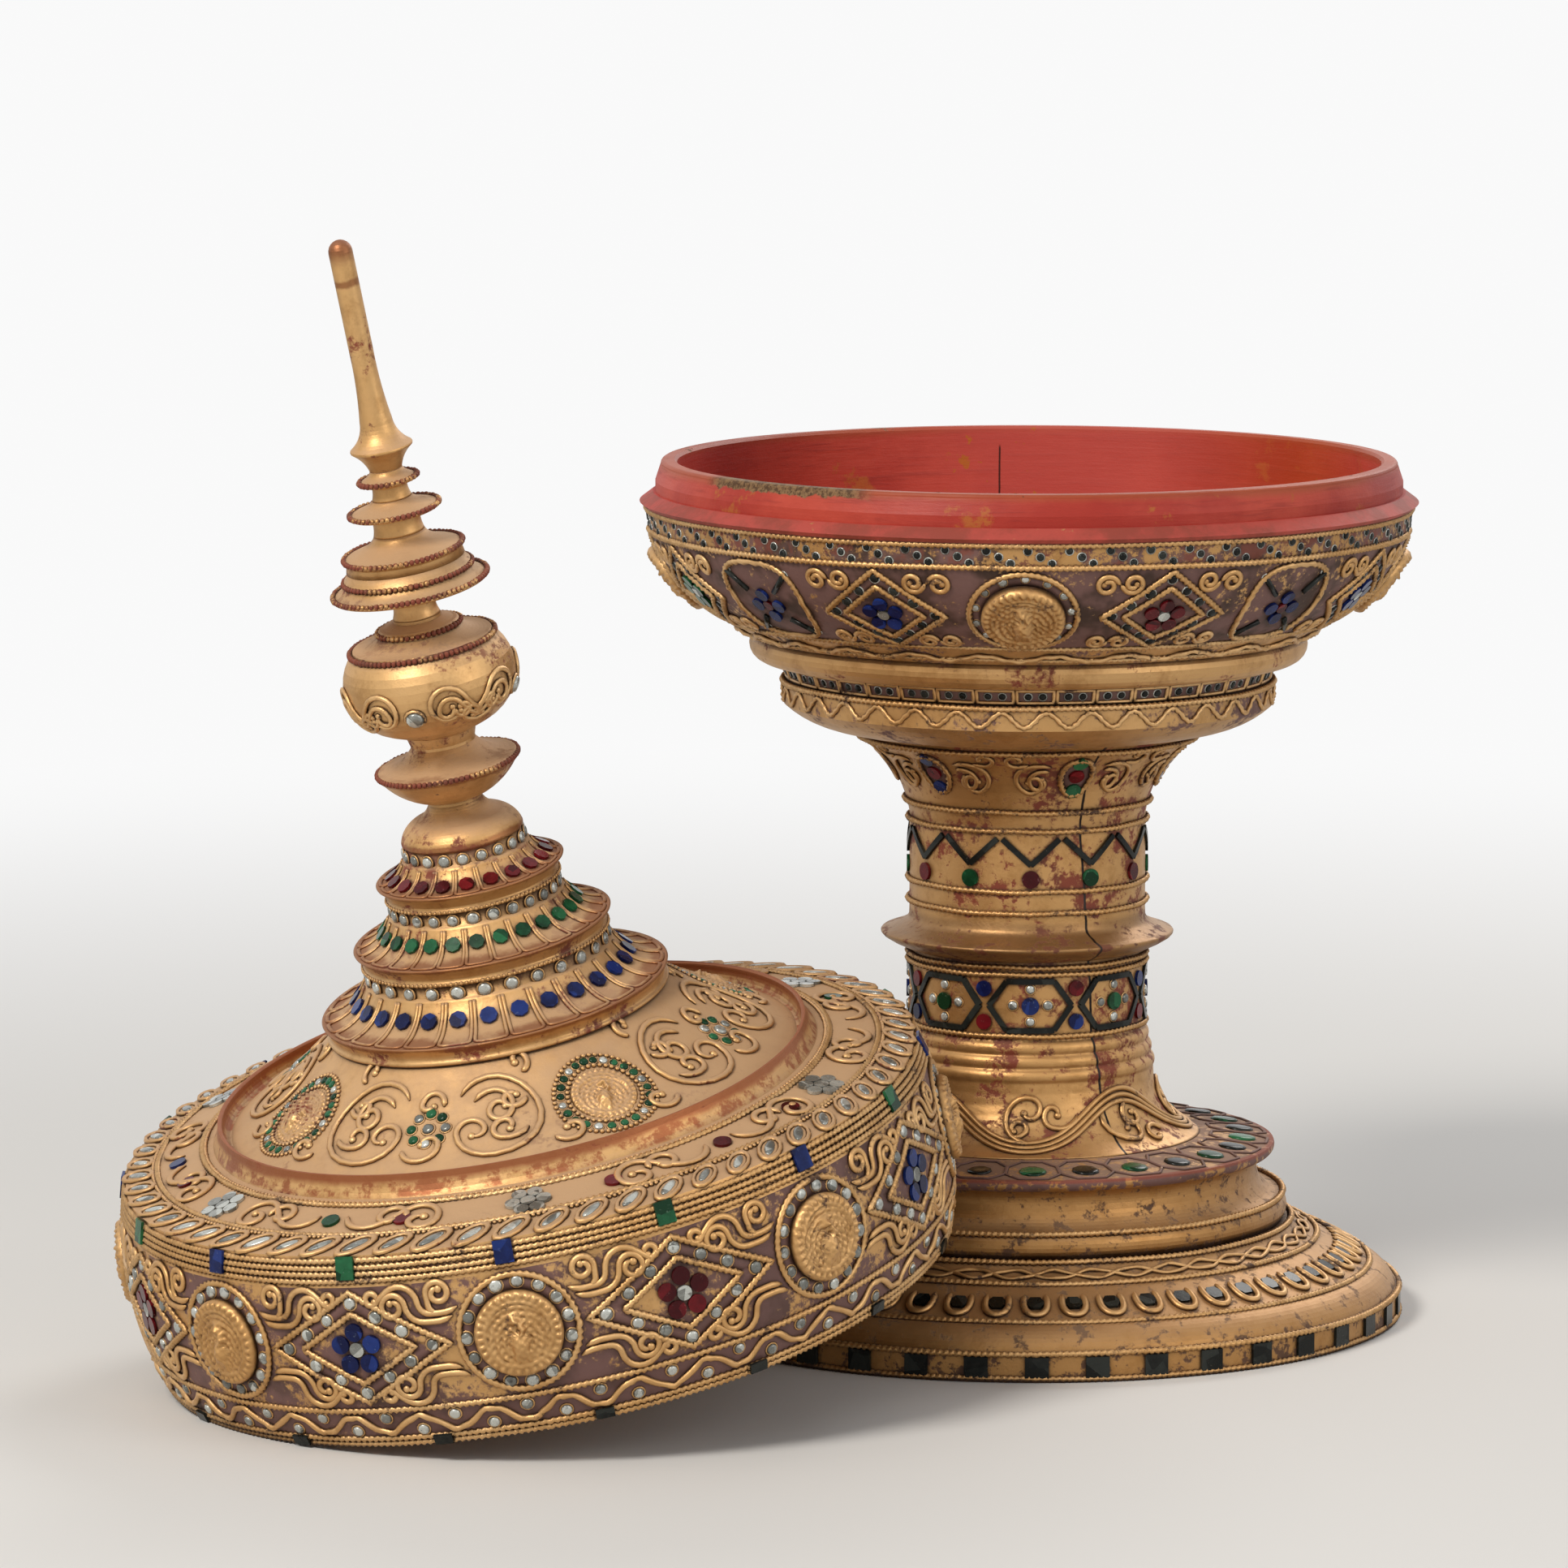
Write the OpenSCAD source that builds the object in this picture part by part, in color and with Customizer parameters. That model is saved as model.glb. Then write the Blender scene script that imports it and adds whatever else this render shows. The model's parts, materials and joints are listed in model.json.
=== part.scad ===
// Hsun ok offering vessel: a footed bowl, with its domed and spired cover set down against the foot.
// Turned and hooped wood, covered in lacquer relief, gilded and inlaid with cut glass.
// Millimetres, +Z up. The origin is the centre of the foot's underside, on the pedestal's axis.
// Places round an axis are angles from the front (-Y) towards +X.

/* [Foot] */
// Radius of the foot band
foot_r = 138; // [134:0.5:144]
// Height of the foot band
foot_band_h = 11; // [9:0.5:15]
// Width of the foot ring that stands on the ground
foot_ring_w = 26; // [18:1:40]
// Radius at the top of the rounded ovolo
ovolo_top_r = 127; // [122:0.5:131]
// Height of the ovolo
ovolo_h = 8.5; // [7:0.5:12]
// Radius at the top of the petal band
petal_top_r = 107.5; // [104:0.5:112]
// Height of the petal band
petal_band_h = 10; // [8:0.5:14]
// Radius at the top of the chain band
chain_top_r = 98; // [96:0.5:101]
// Height of the chain band
chain_h = 6; // [4:0.5:9]
// Widest radius of the drum's lower torus
drum_r = 96.5; // [95:0.5:98]
// Height of the drum's lower torus
drum_torus_h = 9.5; // [7:0.5:13]
// Narrowest radius of the drum's hollow
scotia_r = 85.5; // [82:0.5:88]
// Height of the drum's hollow
scotia_h = 15; // [11:0.5:20]
// Radius of the plate under the stem
plate_r = 91.5; // [89:0.5:95]
// Thickness of the plate at its edge
plate_edge_h = 4; // [3:0.5:7]
// Rise of the plate from its edge to the stem
plate_rise = 3; // [2:0.5:5]

/* [Stem] */
// Radius of the stem's shaft
stem_r = 43.5; // [41:0.5:46]
// Radius of the flare where the stem stands on the plate
stem_foot_r = 64.5; // [60:0.5:68]
// Height of the lower flare
stem_flare_h = 25; // [20:0.5:32]
// Height of the three stacked tori
stem_tori_h = 15; // [12:0.5:20]
// Height of the lower shaft
lower_shaft_h = 29; // [25:0.5:36]
// Radius of the ring half way up
stem_ring_r = 54; // [51:0.5:58]
// Height of the ring
stem_ring_h = 15; // [12:0.5:20]
// Height of the upper shaft
upper_shaft_h = 35; // [31:0.5:42]
// Radius at the top of the capital
capital_r = 66; // [60:0.5:70]
// Height of the capital
capital_h = 32; // [28:0.5:38]
// Radius of the tenons that lock the stack
tenon_r = 22; // [18:0.5:26]
// Depth of each tenon's blind end in its socket
tenon_depth = 6; // [4:0.5:8]

/* [Bowl] */
// Radius of the seat under the bowl
seat_r = 90; // [87:0.5:93]
// Height of the seat's rounded underside
seat_ovolo_h = 9; // [7:0.5:12]
// Height of the seat's wavy band
seat_band_h = 9; // [7:0.5:12]
// Height of the recessed band above the seat
recess_h = 7; // [5:0.5:10]
// Widest radius of the plain moulding under the bowl
moulding_r = 103.5; // [100:0.5:106]
// Height of the plain moulding
moulding_h = 9.5; // [8:0.5:13]
// Radius at the bottom of the bowl's frieze
frieze_low_r = 112; // [109:0.5:115]
// Height from the bowl's base to the frieze
bowl_base_h = 7; // [5:0.5:9]
// Radius at the top of the bowl's frieze
bowl_r = 139; // [137:0.5:141]
// Height of the bowl's frieze
frieze_h = 31.5; // [27:0.5:36]
// How far the frieze bulges past its chord
frieze_bulge = 4.2; // [3:0.1:6]
// Height of the band of studs under the rim
stud_band_h = 8; // [6:0.5:11]
// How far the rim's sharp flange stands out past the band of studs
flange_out = 2.8; // [2:0.2:4]
// Height of the flange
flange_h = 6; // [5:0.5:8]
// How far the collar that the cover fits over stands in from the top of the frieze
collar_in = 2; // [1:0.5:3]
// How far the collar tapers in to its lip
lip_taper = 2; // [1.5:0.5:3.5]
// Height of the collar's straight seat
collar_seat_h = 4; // [3:0.5:6]
// Height of the collar's taper
collar_taper_h = 7.5; // [5:0.5:10]
// Thickness of the rim hoop at the collar's seat
collar_wall = 8; // [6.5:0.5:11]
// Thickness of the rim hoop inside the bowl
hoop_wall = 4; // [3:0.25:5]
// Depth of the rim hoop inside the bowl
hoop_depth = 19; // [14:0.5:22]
// Thickness of the bowl's floor
bowl_floor = 9; // [9:0.5:12]
// Thickness of the bowl's wall
bowl_wall = 9; // [7:0.5:10]

/* [Cover] */
// Thickness of the cover's hoop at its rim
cover_wall = 3.5; // [3:0.25:5]
// How far the cover's side bulges
cover_bulge = 5.5; // [3:0.25:7]
// Height of the cover's hoop
band_h = 59; // [54:0.5:64]
// Height of the shoulder's edge above the hoop
shoulder_edge_h = 10.5; // [9:0.5:13]
// Rise of the shoulder to its lip
shoulder_rise = 7.5; // [5:0.5:10]
// Width of the shoulder from its edge to the raised lip
shoulder_w = 33; // [29:0.5:37]
// Width of the raised lip round the dome, with its trough
dome_lip_w = 7; // [6:0.5:9]
// Height of the raised lip
dome_lip_h = 7.5; // [5:0.25:9]
// Height of the dome's seat above the shoulder
dome_seat_h = 2; // [1:0.25:3]
// Width of the dome's seat
dome_seat_w = 2.5; // [2:0.25:4]
// Thickness of the shoulder
shoulder_wall = 7; // [5:0.5:8]
// Rise of the dome
dome_rise = 27.5; // [24:0.5:32]
// Radius at the top of the dome
dome_top_r = 59.5; // [57:0.5:60.5]
// Thickness of the dome's wall
dome_wall = 7; // [5:0.5:9]

/* [Spire] */
// Radius of the lower tier's edge
lower_tier_r = 62; // [60.5:0.5:66]
// Radius of the middle tier's edge
middle_tier_r = 46; // [44:0.5:50]
// Radius of the upper tier's edge
upper_tier_r = 33.5; // [31:0.5:36]
// Radius of the lower tier's neck
lower_neck_r = 42.5; // [39:0.5:44]
// Radius of the middle tier's neck
middle_neck_r = 29.5; // [26:0.5:31]
// Radius of the upper tier's neck
upper_neck_r = 20.8; // [18:0.2:21]
// Height of the lower tier
lower_tier_h = 23; // [20:0.5:27]
// Height of the middle tier
middle_tier_h = 22; // [19:0.5:26]
// Height of the upper tier
upper_tier_h = 19; // [17:0.5:23]
// Height of each tier's plain edge
tier_edge_h = 6; // [4:0.5:8]
// Height of each tier's neck
tier_neck_h = 4; // [3:0.5:5]
// Radius of the bell
bell_r = 21.7; // [21.2:0.1:23]
// Height of the bell
bell_h = 14.5; // [12:0.5:18]
// Radius of the neck on the bell
bell_neck_r = 9.5; // [8:0.5:11]
// Radius of the lower disc
disc_r = 25.2; // [23:0.2:28]
// Height of the lower disc
disc_h = 21; // [18:0.5:25]
// Radius of the neck on the lower disc
disc_neck_r = 11.5; // [9:0.5:13]
// Radius of the bulb
bulb_r = 30.2; // [28:0.2:32]
// Height of the bulb to its shoulder bead
bulb_h = 37; // [33:0.5:42]
// Radius of the bulb's shoulder bead
bulb_shoulder_r = 25; // [22:0.5:27]
// Height of the stepped cap on the bulb
bulb_cap_h = 8.5; // [7:0.5:11]
// Radius of the stepped cap on the bulb
bulb_cap_r = 14.8; // [12.5:0.2:17]
// Radius of the first parasol, above the bulb
first_parasol_r = 27.8; // [25:0.2:30]
// Radius of the second parasol
second_parasol_r = 21.5; // [20.5:0.1:23]
// Radius of the third parasol
third_parasol_r = 16.3; // [14.5:0.1:18]
// Radius of the fourth parasol
fourth_parasol_r = 10.6; // [9:0.1:12]
// Height of the first parasol
first_parasol_h = 19.5; // [16:0.5:23]
// Height of the second parasol
second_parasol_h = 11; // [10:0.5:14]
// Height of the third parasol
third_parasol_h = 12.5; // [11:0.5:16]
// Height of the fourth parasol
fourth_parasol_h = 10.5; // [9:0.5:13]
// Radius of the neck under the first parasol
first_neck_r = 8.5; // [7.5:0.1:9.5]
// Radius of the neck under the second parasol
second_neck_r = 20.2; // [17:0.1:20.4]
// Radius of the neck under the third parasol
third_neck_r = 13.2; // [11:0.1:14]
// Radius of the neck under the fourth parasol and the finial
slim_neck_r = 5.7; // [5:0.1:6.5]
// Radius of the finial's flared base
finial_base_r = 11; // [9:0.2:13]
// Height of the finial's flared base
finial_base_h = 17.5; // [14:0.5:21]
// Radius of the finial's needle
needle_r = 4.2; // [3.6:0.1:4.8]
// Height of the finial
finial_h = 82; // [70:1:92]
// Radius of the spigots in the lower spire
spigot_r = 6; // [5:0.25:7]
// Radius of the spigots in the upper spire
slim_spigot_r = 3; // [2.5:0.25:3.5]
// Length of the spigots
spigot_h = 6; // [4:0.25:6.5]

/* [Ornament] */
// Motifs round the bowl: roundel, lozenge, panel, lozenge, and again
bowl_motifs = 16; // [12:4:20]
// Roundels round the cover, with a lozenge after each
cover_roundels = 8; // [6:1:8]
// Radius of a roundel's embossed disc
roundel_r = 15.5; // [13:0.5:17]
// Height of a roundel's disc
roundel_h = 3.2; // [2:0.2:4]
// Radius of the cord ring round a roundel of the bowl
roundel_ring_r = 20; // [18.5:0.25:21]
// Radius of the cord ring round a roundel of the cover
cover_ring_r = 19; // [18:0.25:20]
// Gap between a lozenge of the cover and the rings beside it
cover_lozenge_gap = 1.75; // [1:0.25:8]
// Half height of the cover's lozenges
cover_lozenge_h = 20.5; // [18:0.5:22]
// Half width of the bowl's lozenges
bowl_lozenge_w = 24; // [20:0.5:24.5]
// Half height of the bowl's lozenges
bowl_lozenge_h = 20; // [17:0.5:20.5]
// Size of a lozenge's inner frame against its outer one
lozenge_inset = 0.66; // [0.66:0.01:0.72]
// Width of a relief cord
cord_w = 1.8; // [1.4:0.1:2.4]
// Height of a relief cord
cord_h = 1.2; // [0.8:0.1:1.6]
// Radius of a flower's glass petal
petal_glass_r = 3.2; // [2.6:0.1:3.4]
// Distance of a flower's petals from its centre
petal_spread = 6.2; // [6.1:0.1:6.4]
// Radius of a flower's centre stone
flower_eye_r = 2.6; // [2:0.1:2.7]
// Size of the bowl's flowers against the cover's
bowl_flower_size = 0.84; // [0.7:0.01:0.86]
// Thickness of the inlaid glass
glass_h = 1; // [0.6:0.1:1.4]
// Width of the cover's square glass tabs
cover_tab_w = 6.5; // [5:0.25:8]
// Height of the glass tabs at the cover's shoulder
cover_tab_h = 8; // [6:0.25:8.5]
// Number of glass tabs at the shoulder and at the rim of the cover
cover_tabs = 16; // [12:2:20]
// Width of the foot's glass squares
foot_tab_w = 8.5; // [6:0.25:11]
// Number of glass squares round the foot
foot_tabs = 40; // [36:1:44]
// Number of petals round the foot
foot_petals = 54; // [48:1:58]
// Radius of a foot petal's lens of glass
foot_lens_r = 3.6; // [2.8:0.1:4.2]
// Number of glass lozenges on the plate
plate_cells = 26; // [22:2:30]
// Half width of the plate's glass lozenges
plate_lozenge_w = 6.5; // [5:0.25:7.5]
// Half length of the plate's glass lozenges, towards the stem
plate_lozenge_h = 4.2; // [3:0.1:5]
// Number of hexagon cells round the lower shaft
hexagons = 8; // [6:1:8]
// Half width of a hexagon cell's flat sides
hexagon_flat = 8.8; // [7:0.2:9.4]
// Number of points in the zigzag round the upper shaft
zigzags = 12; // [10:1:13]
// Height of the zigzag
zigzag_h = 9.5; // [7:0.5:11]
// Width of the glass strips on the stem
strip_w = 2; // [1.5:0.1:2.4]
// Gap between neighbouring strips
strip_gap = 0.9; // [0.6:0.1:1.2]
// Radius of the round stones on the stem
stem_stone_r = 3.2; // [2.6:0.1:3.6]
// Number of cartouches round the capital
cartouches = 6; // [5:1:7]
// Number of stones round the lower tier
lower_tier_stones = 28; // [24:1:32]
// Number of stones round the middle tier
middle_tier_stones = 26; // [22:1:28]
// Number of stones round the upper tier
upper_tier_stones = 20; // [16:1:21]
// Radius of the tiers' stones
tier_stone_r = 2.8; // [2.2:0.1:2.9]
// Width of the ridges between the tiers' petals
tier_ridge_w = 1.6; // [1.2:0.1:2]
// Number of rosettes on the shoulder
rosettes = 6; // [4:1:6]

/* [Placing and fits] */
// Clearance between the collar and the cover's mouth
cover_clear = 1; // [0.5:0.1:1.5]
// How far in from the plate's edge the cover's rim leans
lean_in = 9.5; // [7.5:0.5:13]
// Direction from the pedestal to the cover, in degrees from +X
lean_dir = -142; // [-170:1:-110]
// Gap between the leaning rim and the plate's glass
lean_gap = 0.3; // [0.2:0.1:0.6]
// Gap between the cover's lowest edge and the ground
ground_gap = 0.2; // [0.1:0.1:0.5]
// Clearance round tenons and spigots
fit_clear = 0.15; // [0.1:0.05:0.3]

/* [Hidden] */
$fn = 96;
gold = "goldenrod";
worn_gold = "darkgoldenrod";
lacquer = "firebrick";
blue_glass = "mediumblue";
green_glass = "seagreen";
red_glass = "darkred";
clear_glass = "lightsteelblue";
dark_glass = "darkslategray";

// Bows of the turned curves from their chords
ovolo_bow = 1.6;
chain_bow = 0.8;
drum_bow = 2.2;
hollow_bow = 1.6;
hollow_top_bow = 1;
plate_bow = 1;
flare_bow = 5;
tori_bow = 1.1;
ring_bow = 1.5;
capital_bow = 4.5;
seat_bow = 2.5;
moulding_bow = 4;
dome_bow = 1.5;
tier_bow = 1.2;
tier_flare_bows = [3, 2.6, 1.9];
bell_bow = 1;
disc_bow = 1.6;
cap_bow = 1.2;
parasol_bow = 0.7;
edge_bow = 0.5;

// Small steps, ledges and fine faces
small_edge = 1;
ledge = 1.5;
tori_step = 1.1;
plate_overhang = 4;
shaft_neck = 3;
shaft_band = 8;
bulb_step = 8;
stone_lift = 0.2;
gem_lift = 0.35;
gem_grow = [0.4, 0, 0];
ridge_lift = 0.8;
cut_depth = 12;
round_sides = 24;
cord_sides = 12;

// Where features fall along their pieces, as shares
hollow_share = 0.55;
capital_cord_shares = [0.16, 0.9];
base_cord_share = 0.3;
top_cord_shares = [0.36, 0.88];
disc_low_share = 0.5;
disc_high_share = 0.64;
bulb_low_share = 0.18;
cap_low_share = 0.42;
cap_high_share = 0.72;
parasol_share = 0.5;
second_parasol_share = 0.2;
finial_share = 0.4;
needle_share = 0.3;
ring_low_share = 0.25;
ring_high_share = 0.62;
flange_share = 0.4;
petal_share = 0.48;
plate_share = 0.45;
ridge_from = 0.06;
ridge_to = 0.86;
gem_shares = [0.64, 0.64, 0.42];
bell_share = 0.55;
shoulder_share = 0.6;
frieze_share = 0.54;

// Points on the arc from p to q without q, bowed by sag to the right of the way
function bow(p, q, sag, n = 8) =
    let (way = q - p, len = norm(way), along = way / len, side = [along[1], -along[0]],
         rad = (len * len / 4 + sag * sag) / (2 * abs(sag)), turn = asin(len / 2 / rad),
         hub = (p + q) / 2 + side * (sag - sign(sag) * rad))
    [for (i = [0 : n - 1]) let (a = turn * (2 * i / n - 1))
        hub + side * sign(sag) * rad * cos(a) + along * rad * sin(a)];

// A curved wall from p up to q, hollow where sag is negative:
// [hub radius, hub height, arc radius, low angle, high angle]
function wall_arc(p, q, sag) =
    let (len = norm(q - p), along = (q - p) / len, side = [along[1], -along[0]],
         rad = (len * len / 4 + sag * sag) / (2 * sag), hub = (p + q) / 2 + side * (sag - rad),
         low = (p - hub) / rad, high = (q - hub) / rad)
    [hub[0], hub[1], rad, atan2(low[1], low[0]), atan2(high[1], high[0])];
function arc_points(arc, grow = 0, n = 12) =
    [for (i = [0 : n]) let (a = arc[3] + (arc[4] - arc[3]) * i / n)
        [arc[0] + (arc[2] + grow) * cos(a), arc[1] + (arc[2] + grow) * sin(a)]];
// A spot on a wall: [radius, height, lift of its normal above the level]
function arc_spot(arc, share, grow = 0) =
    let (a = arc[3] + (arc[4] - arc[3]) * share)
    [arc[0] + (arc[2] + grow) * cos(a), arc[1] + (arc[2] + grow) * sin(a), a];
function cone_spot(p, q, share) =
    let (way = q - p, spot = p + way * share)
    [spot[0], spot[1], atan2(-way[0], way[1])];
function level(spot) = [spot[0], spot[1]];
function reversed(list) = [for (i = [len(list) - 1 : -1 : 0]) list[i]];
function sum_to(list, count) = count == 0 ? 0 : list[count - 1] + sum_to(list, count - 1);

// Levels of the pedestal's pieces
ogee_z = foot_band_h;
petal_z = ogee_z + ovolo_h;
chain_z = petal_z + petal_band_h;
drum_z = chain_z + chain_h;
scotia_z = drum_z + drum_torus_h;
plate_z = scotia_z + scotia_h;
plate_edge_z = plate_z + plate_edge_h;
stem_z = plate_edge_z + plate_rise;
tori_z = stem_z + stem_flare_h;
lower_shaft_z = tori_z + stem_tori_h;
ring_z = lower_shaft_z + lower_shaft_h;
upper_shaft_z = ring_z + stem_ring_h;
capital_z = upper_shaft_z + upper_shaft_h;
seat_z = capital_z + capital_h;
seat_band_z = seat_z + seat_ovolo_h;
recess_z = seat_band_z + seat_band_h;
moulding_z = recess_z + recess_h;
bowl_z = moulding_z + moulding_h;
frieze_z = bowl_z + bowl_base_h;
stud_z = frieze_z + frieze_h;
flange_z = stud_z + stud_band_h;
collar_z = flange_z + flange_h;
rim_z = collar_z + collar_seat_h + collar_taper_h;
floor_z = bowl_z + bowl_floor;
hoop_z = collar_z - hoop_depth;
stud_top_r = bowl_r + small_edge;
flange_r = stud_top_r + flange_out;
collar_r = bowl_r - collar_in;
lip_r = collar_r - lip_taper;
hoop_inner_r = collar_r - collar_wall;
hoop_lap_r = hoop_inner_r + hoop_wall;
foot_recess_r = foot_r - foot_ring_w;
bore_r = tenon_r + fit_clear;
plate_top_r = stem_foot_r + ledge;
bowl_base_r = moulding_r - small_edge;
frieze = wall_arc([frieze_low_r, frieze_z], [bowl_r, stud_z], frieze_bulge);

// Levels of the cover's pieces, from the plane of its rim
tier_r = [lower_tier_r, middle_tier_r, upper_tier_r];
tier_neck_r = [lower_neck_r, middle_neck_r, upper_neck_r];
tier_h = [lower_tier_h, middle_tier_h, upper_tier_h];
tier_stones = [lower_tier_stones, middle_tier_stones, upper_tier_stones];
parasol_r = [first_parasol_r, second_parasol_r, third_parasol_r, fourth_parasol_r];
parasol_h = [first_parasol_h, second_parasol_h, third_parasol_h, fourth_parasol_h];
parasol_neck_r = [first_neck_r, second_neck_r, third_neck_r, slim_neck_r, slim_neck_r];
mouth_r = collar_r + cover_clear;
cover_r = mouth_r + cover_wall;
edge_z = band_h + shoulder_edge_h;
lip_z = edge_z + shoulder_rise;
dome_z = lip_z + dome_seat_h;
dome_lip_r = cover_r - shoulder_w;
dome_r = dome_lip_r - dome_lip_w;
shoulder_hole_r = dome_r - dome_seat_w;
tier_z = [for (i = [0 : 3]) dome_z + dome_rise + sum_to(tier_h, i)];
bell_z = tier_z[3];
disc_z = bell_z + bell_h;
bulb_z = disc_z + disc_h;
bulb_top_z = bulb_z + bulb_h;
parasol_z = [for (i = [0 : 4]) bulb_top_z + bulb_cap_h + sum_to(parasol_h, i)];
finial_z = parasol_z[4];
socket_r = spigot_r + fit_clear;
side_arc = wall_arc([cover_r, 0], [cover_r, edge_z], cover_bulge);
// A spot on the cover's side at a height above its rim
function side_spot(z, grow = 0) =
    let (a = asin((z - side_arc[1]) / side_arc[2]))
    [side_arc[0] + (side_arc[2] + grow) * cos(a), side_arc[1] + (side_arc[2] + grow) * sin(a), a];

// Lean of the cover: rim on the ground at one side, on the plate's glass at the other
plate_slope = plate_rise / (plate_r - plate_top_r);
lean_r = plate_r - lean_in;
lean_z = plate_edge_z + plate_slope * (plate_r - lean_r) + glass_h + lean_gap;
lean_tilt = asin((lean_z - ground_gap) / (cover_r + mouth_r));
cover_reach = lean_r + mouth_r * cos(lean_tilt);
cover_lift = cover_r * sin(lean_tilt) + ground_gap;

module turned(points) { rotate_extrude() polygon(points); }

// Stands children on a wall, their +Z outwards and their +Y up the wall
module on_wall(angle, spot) {
    rotate([0, 0, angle]) translate([0, -spot[0], spot[1]]) rotate([90 - spot[2], 0, 0]) children();
}

module set_down() {
    rotate([0, 0, lean_dir]) translate([cover_reach, 0, cover_lift]) rotate([0, lean_tilt, 0])
        rotate([0, 0, -lean_dir]) children();
}

// Cuts the flat drawing of children out of a skin of the given height on a curved wall
module wall_relief(arc, height, n = 12) {
    intersection() {
        turned(concat(arc_points(arc, 0, n), reversed(arc_points(arc, height, n))));
        children();
    }
}

module punch() { linear_extrude(2 * cut_depth, center = true) children(); }

module diamond(half) { polygon([[half[0], 0], [0, half[1]], [-half[0], 0], [0, -half[1]]]); }

module diamond_frame(half) {
    difference() {
        diamond(half);
        diamond([half[0] - cord_w * norm(half) / half[1], half[1] - cord_w * norm(half) / half[0]]);
    }
}

module lozenge_frames(half) {
    diamond_frame(half);
    diamond_frame(half * lozenge_inset);
}

module cord_circle(radius) {
    difference() {
        circle(r = radius);
        circle(r = radius - cord_w);
    }
}

module stone(radius, sides = round_sides) { cylinder(r = radius, h = glass_h, $fn = sides); }

module petals(count, size = 1) {
    for (i = [0 : count - 1]) rotate([0, 0, 90 + 360 / count * i])
        translate([petal_spread * size, 0, 0]) stone(petal_glass_r * size);
}

module tab(width, height) { translate([-width / 2, -height / 2, 0]) cube([width, height, glass_h]); }

// Half-round cords on an outline, at the given [radius, height] places
module cord_rings(places) {
    rotate_extrude() difference() {
        for (place = places) translate(place) circle(r = cord_w / 2, $fn = cord_sides);
        children();
    }
}

// Foot

petal_low = [ovolo_top_r, petal_z];
petal_high = [petal_top_r, chain_z];
chain_high = [chain_top_r, drum_z];

module foot_ring() {
    color(worn_gold) turned([
        [foot_recess_r, 0], [foot_r, 0], [foot_r, foot_band_h], [foot_recess_r, foot_band_h]]);
}

module ogee_outline() {
    polygon(concat([[0, ogee_z]],
        bow([foot_r - small_edge, ogee_z], petal_low, ovolo_bow),
        [petal_low],
        bow(petal_high, chain_high, -chain_bow),
        [chain_high, [bore_r, drum_z], [bore_r, drum_z - tenon_depth], [0, drum_z - tenon_depth]]));
}

module foot_ogee() { color(gold) rotate_extrude() ogee_outline(); }

drum_edge_r = drum_r - drum_bow;
hollow_mid = [scotia_r, scotia_z + scotia_h * hollow_share];
hollow_high = [plate_r - plate_overhang, plate_z];

module drum_outline() {
    polygon(concat([[bore_r, drum_z]],
        bow([drum_edge_r, drum_z], [drum_edge_r, scotia_z], drum_bow),
        [[drum_edge_r, scotia_z]],
        bow([drum_edge_r - 2 * small_edge, scotia_z], hollow_mid, -hollow_bow),
        bow(hollow_mid, hollow_high, -hollow_top_bow),
        [hollow_high, [bore_r, plate_z]]));
}

module foot_drum() { color(gold) rotate_extrude() drum_outline(); }

plate_low = [plate_r, plate_edge_z];
plate_high = [plate_top_r, stem_z];

module plate_outline() {
    polygon(concat([[bore_r, plate_z]],
        bow([plate_r - ledge, plate_z], plate_low, plate_bow),
        [plate_low, plate_high, [bore_r, stem_z]]));
}

module foot_plate() { color(gold) rotate_extrude() plate_outline(); }

module foot_cords() {
    color(gold) {
        cord_rings([petal_low, petal_high]) ogee_outline();
        cord_rings([[drum_edge_r, scotia_z]]) drum_outline();
        cord_rings([[foot_r, foot_band_h - cord_w / 2], [foot_r, cord_w / 2]])
            square([foot_r, foot_band_h]);
    }
}

module on_foot_petals() {
    spot = cone_spot(petal_low, petal_high, petal_share);
    for (i = [0 : foot_petals - 1]) on_wall(360 / foot_petals * i, spot) children();
}

// Petals on the foot, each a cup of cord round its lens of glass
module foot_petal_cups() {
    color(gold) on_foot_petals() difference() {
        cylinder(r = foot_lens_r + cord_w / 2, h = cord_h, $fn = round_sides);
        translate([0, 0, -cord_h]) cylinder(r = foot_lens_r, h = 3 * cord_h, $fn = round_sides);
    }
}

module foot_lenses() {
    color(dark_glass) on_foot_petals() stone(foot_lens_r - fit_clear, 6);
}

module foot_glass_tabs() {
    middle = [foot_r, foot_band_h / 2, 0];
    color(dark_glass) for (i = [0 : foot_tabs - 1]) on_wall(360 / foot_tabs * i, middle)
        tab(foot_tab_w, foot_band_h - 2 * cord_w);
}

module plate_lozenges(first) {
    spot = cone_spot(plate_low, plate_high, plate_share);
    for (i = [first : 2 : plate_cells - 1]) on_wall(360 / plate_cells * i, spot)
        linear_extrude(glass_h) diamond([plate_lozenge_w, plate_lozenge_h]);
}

module plate_glass_green() { color(green_glass) plate_lozenges(0); }
module plate_glass_clear() { color(clear_glass) plate_lozenges(1); }

// Stem

flare_low = [stem_foot_r, stem_z];
flare_high = [stem_r + 3 * tori_step, tori_z];
ring_edge_r = stem_ring_r - ring_bow;
ring_low = [ring_edge_r, ring_z + stem_ring_h * ring_low_share];
ring_high = [ring_edge_r, ring_z + stem_ring_h * ring_high_share];
capital = wall_arc([stem_r, capital_z], [capital_r, seat_z], -capital_bow);

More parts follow.
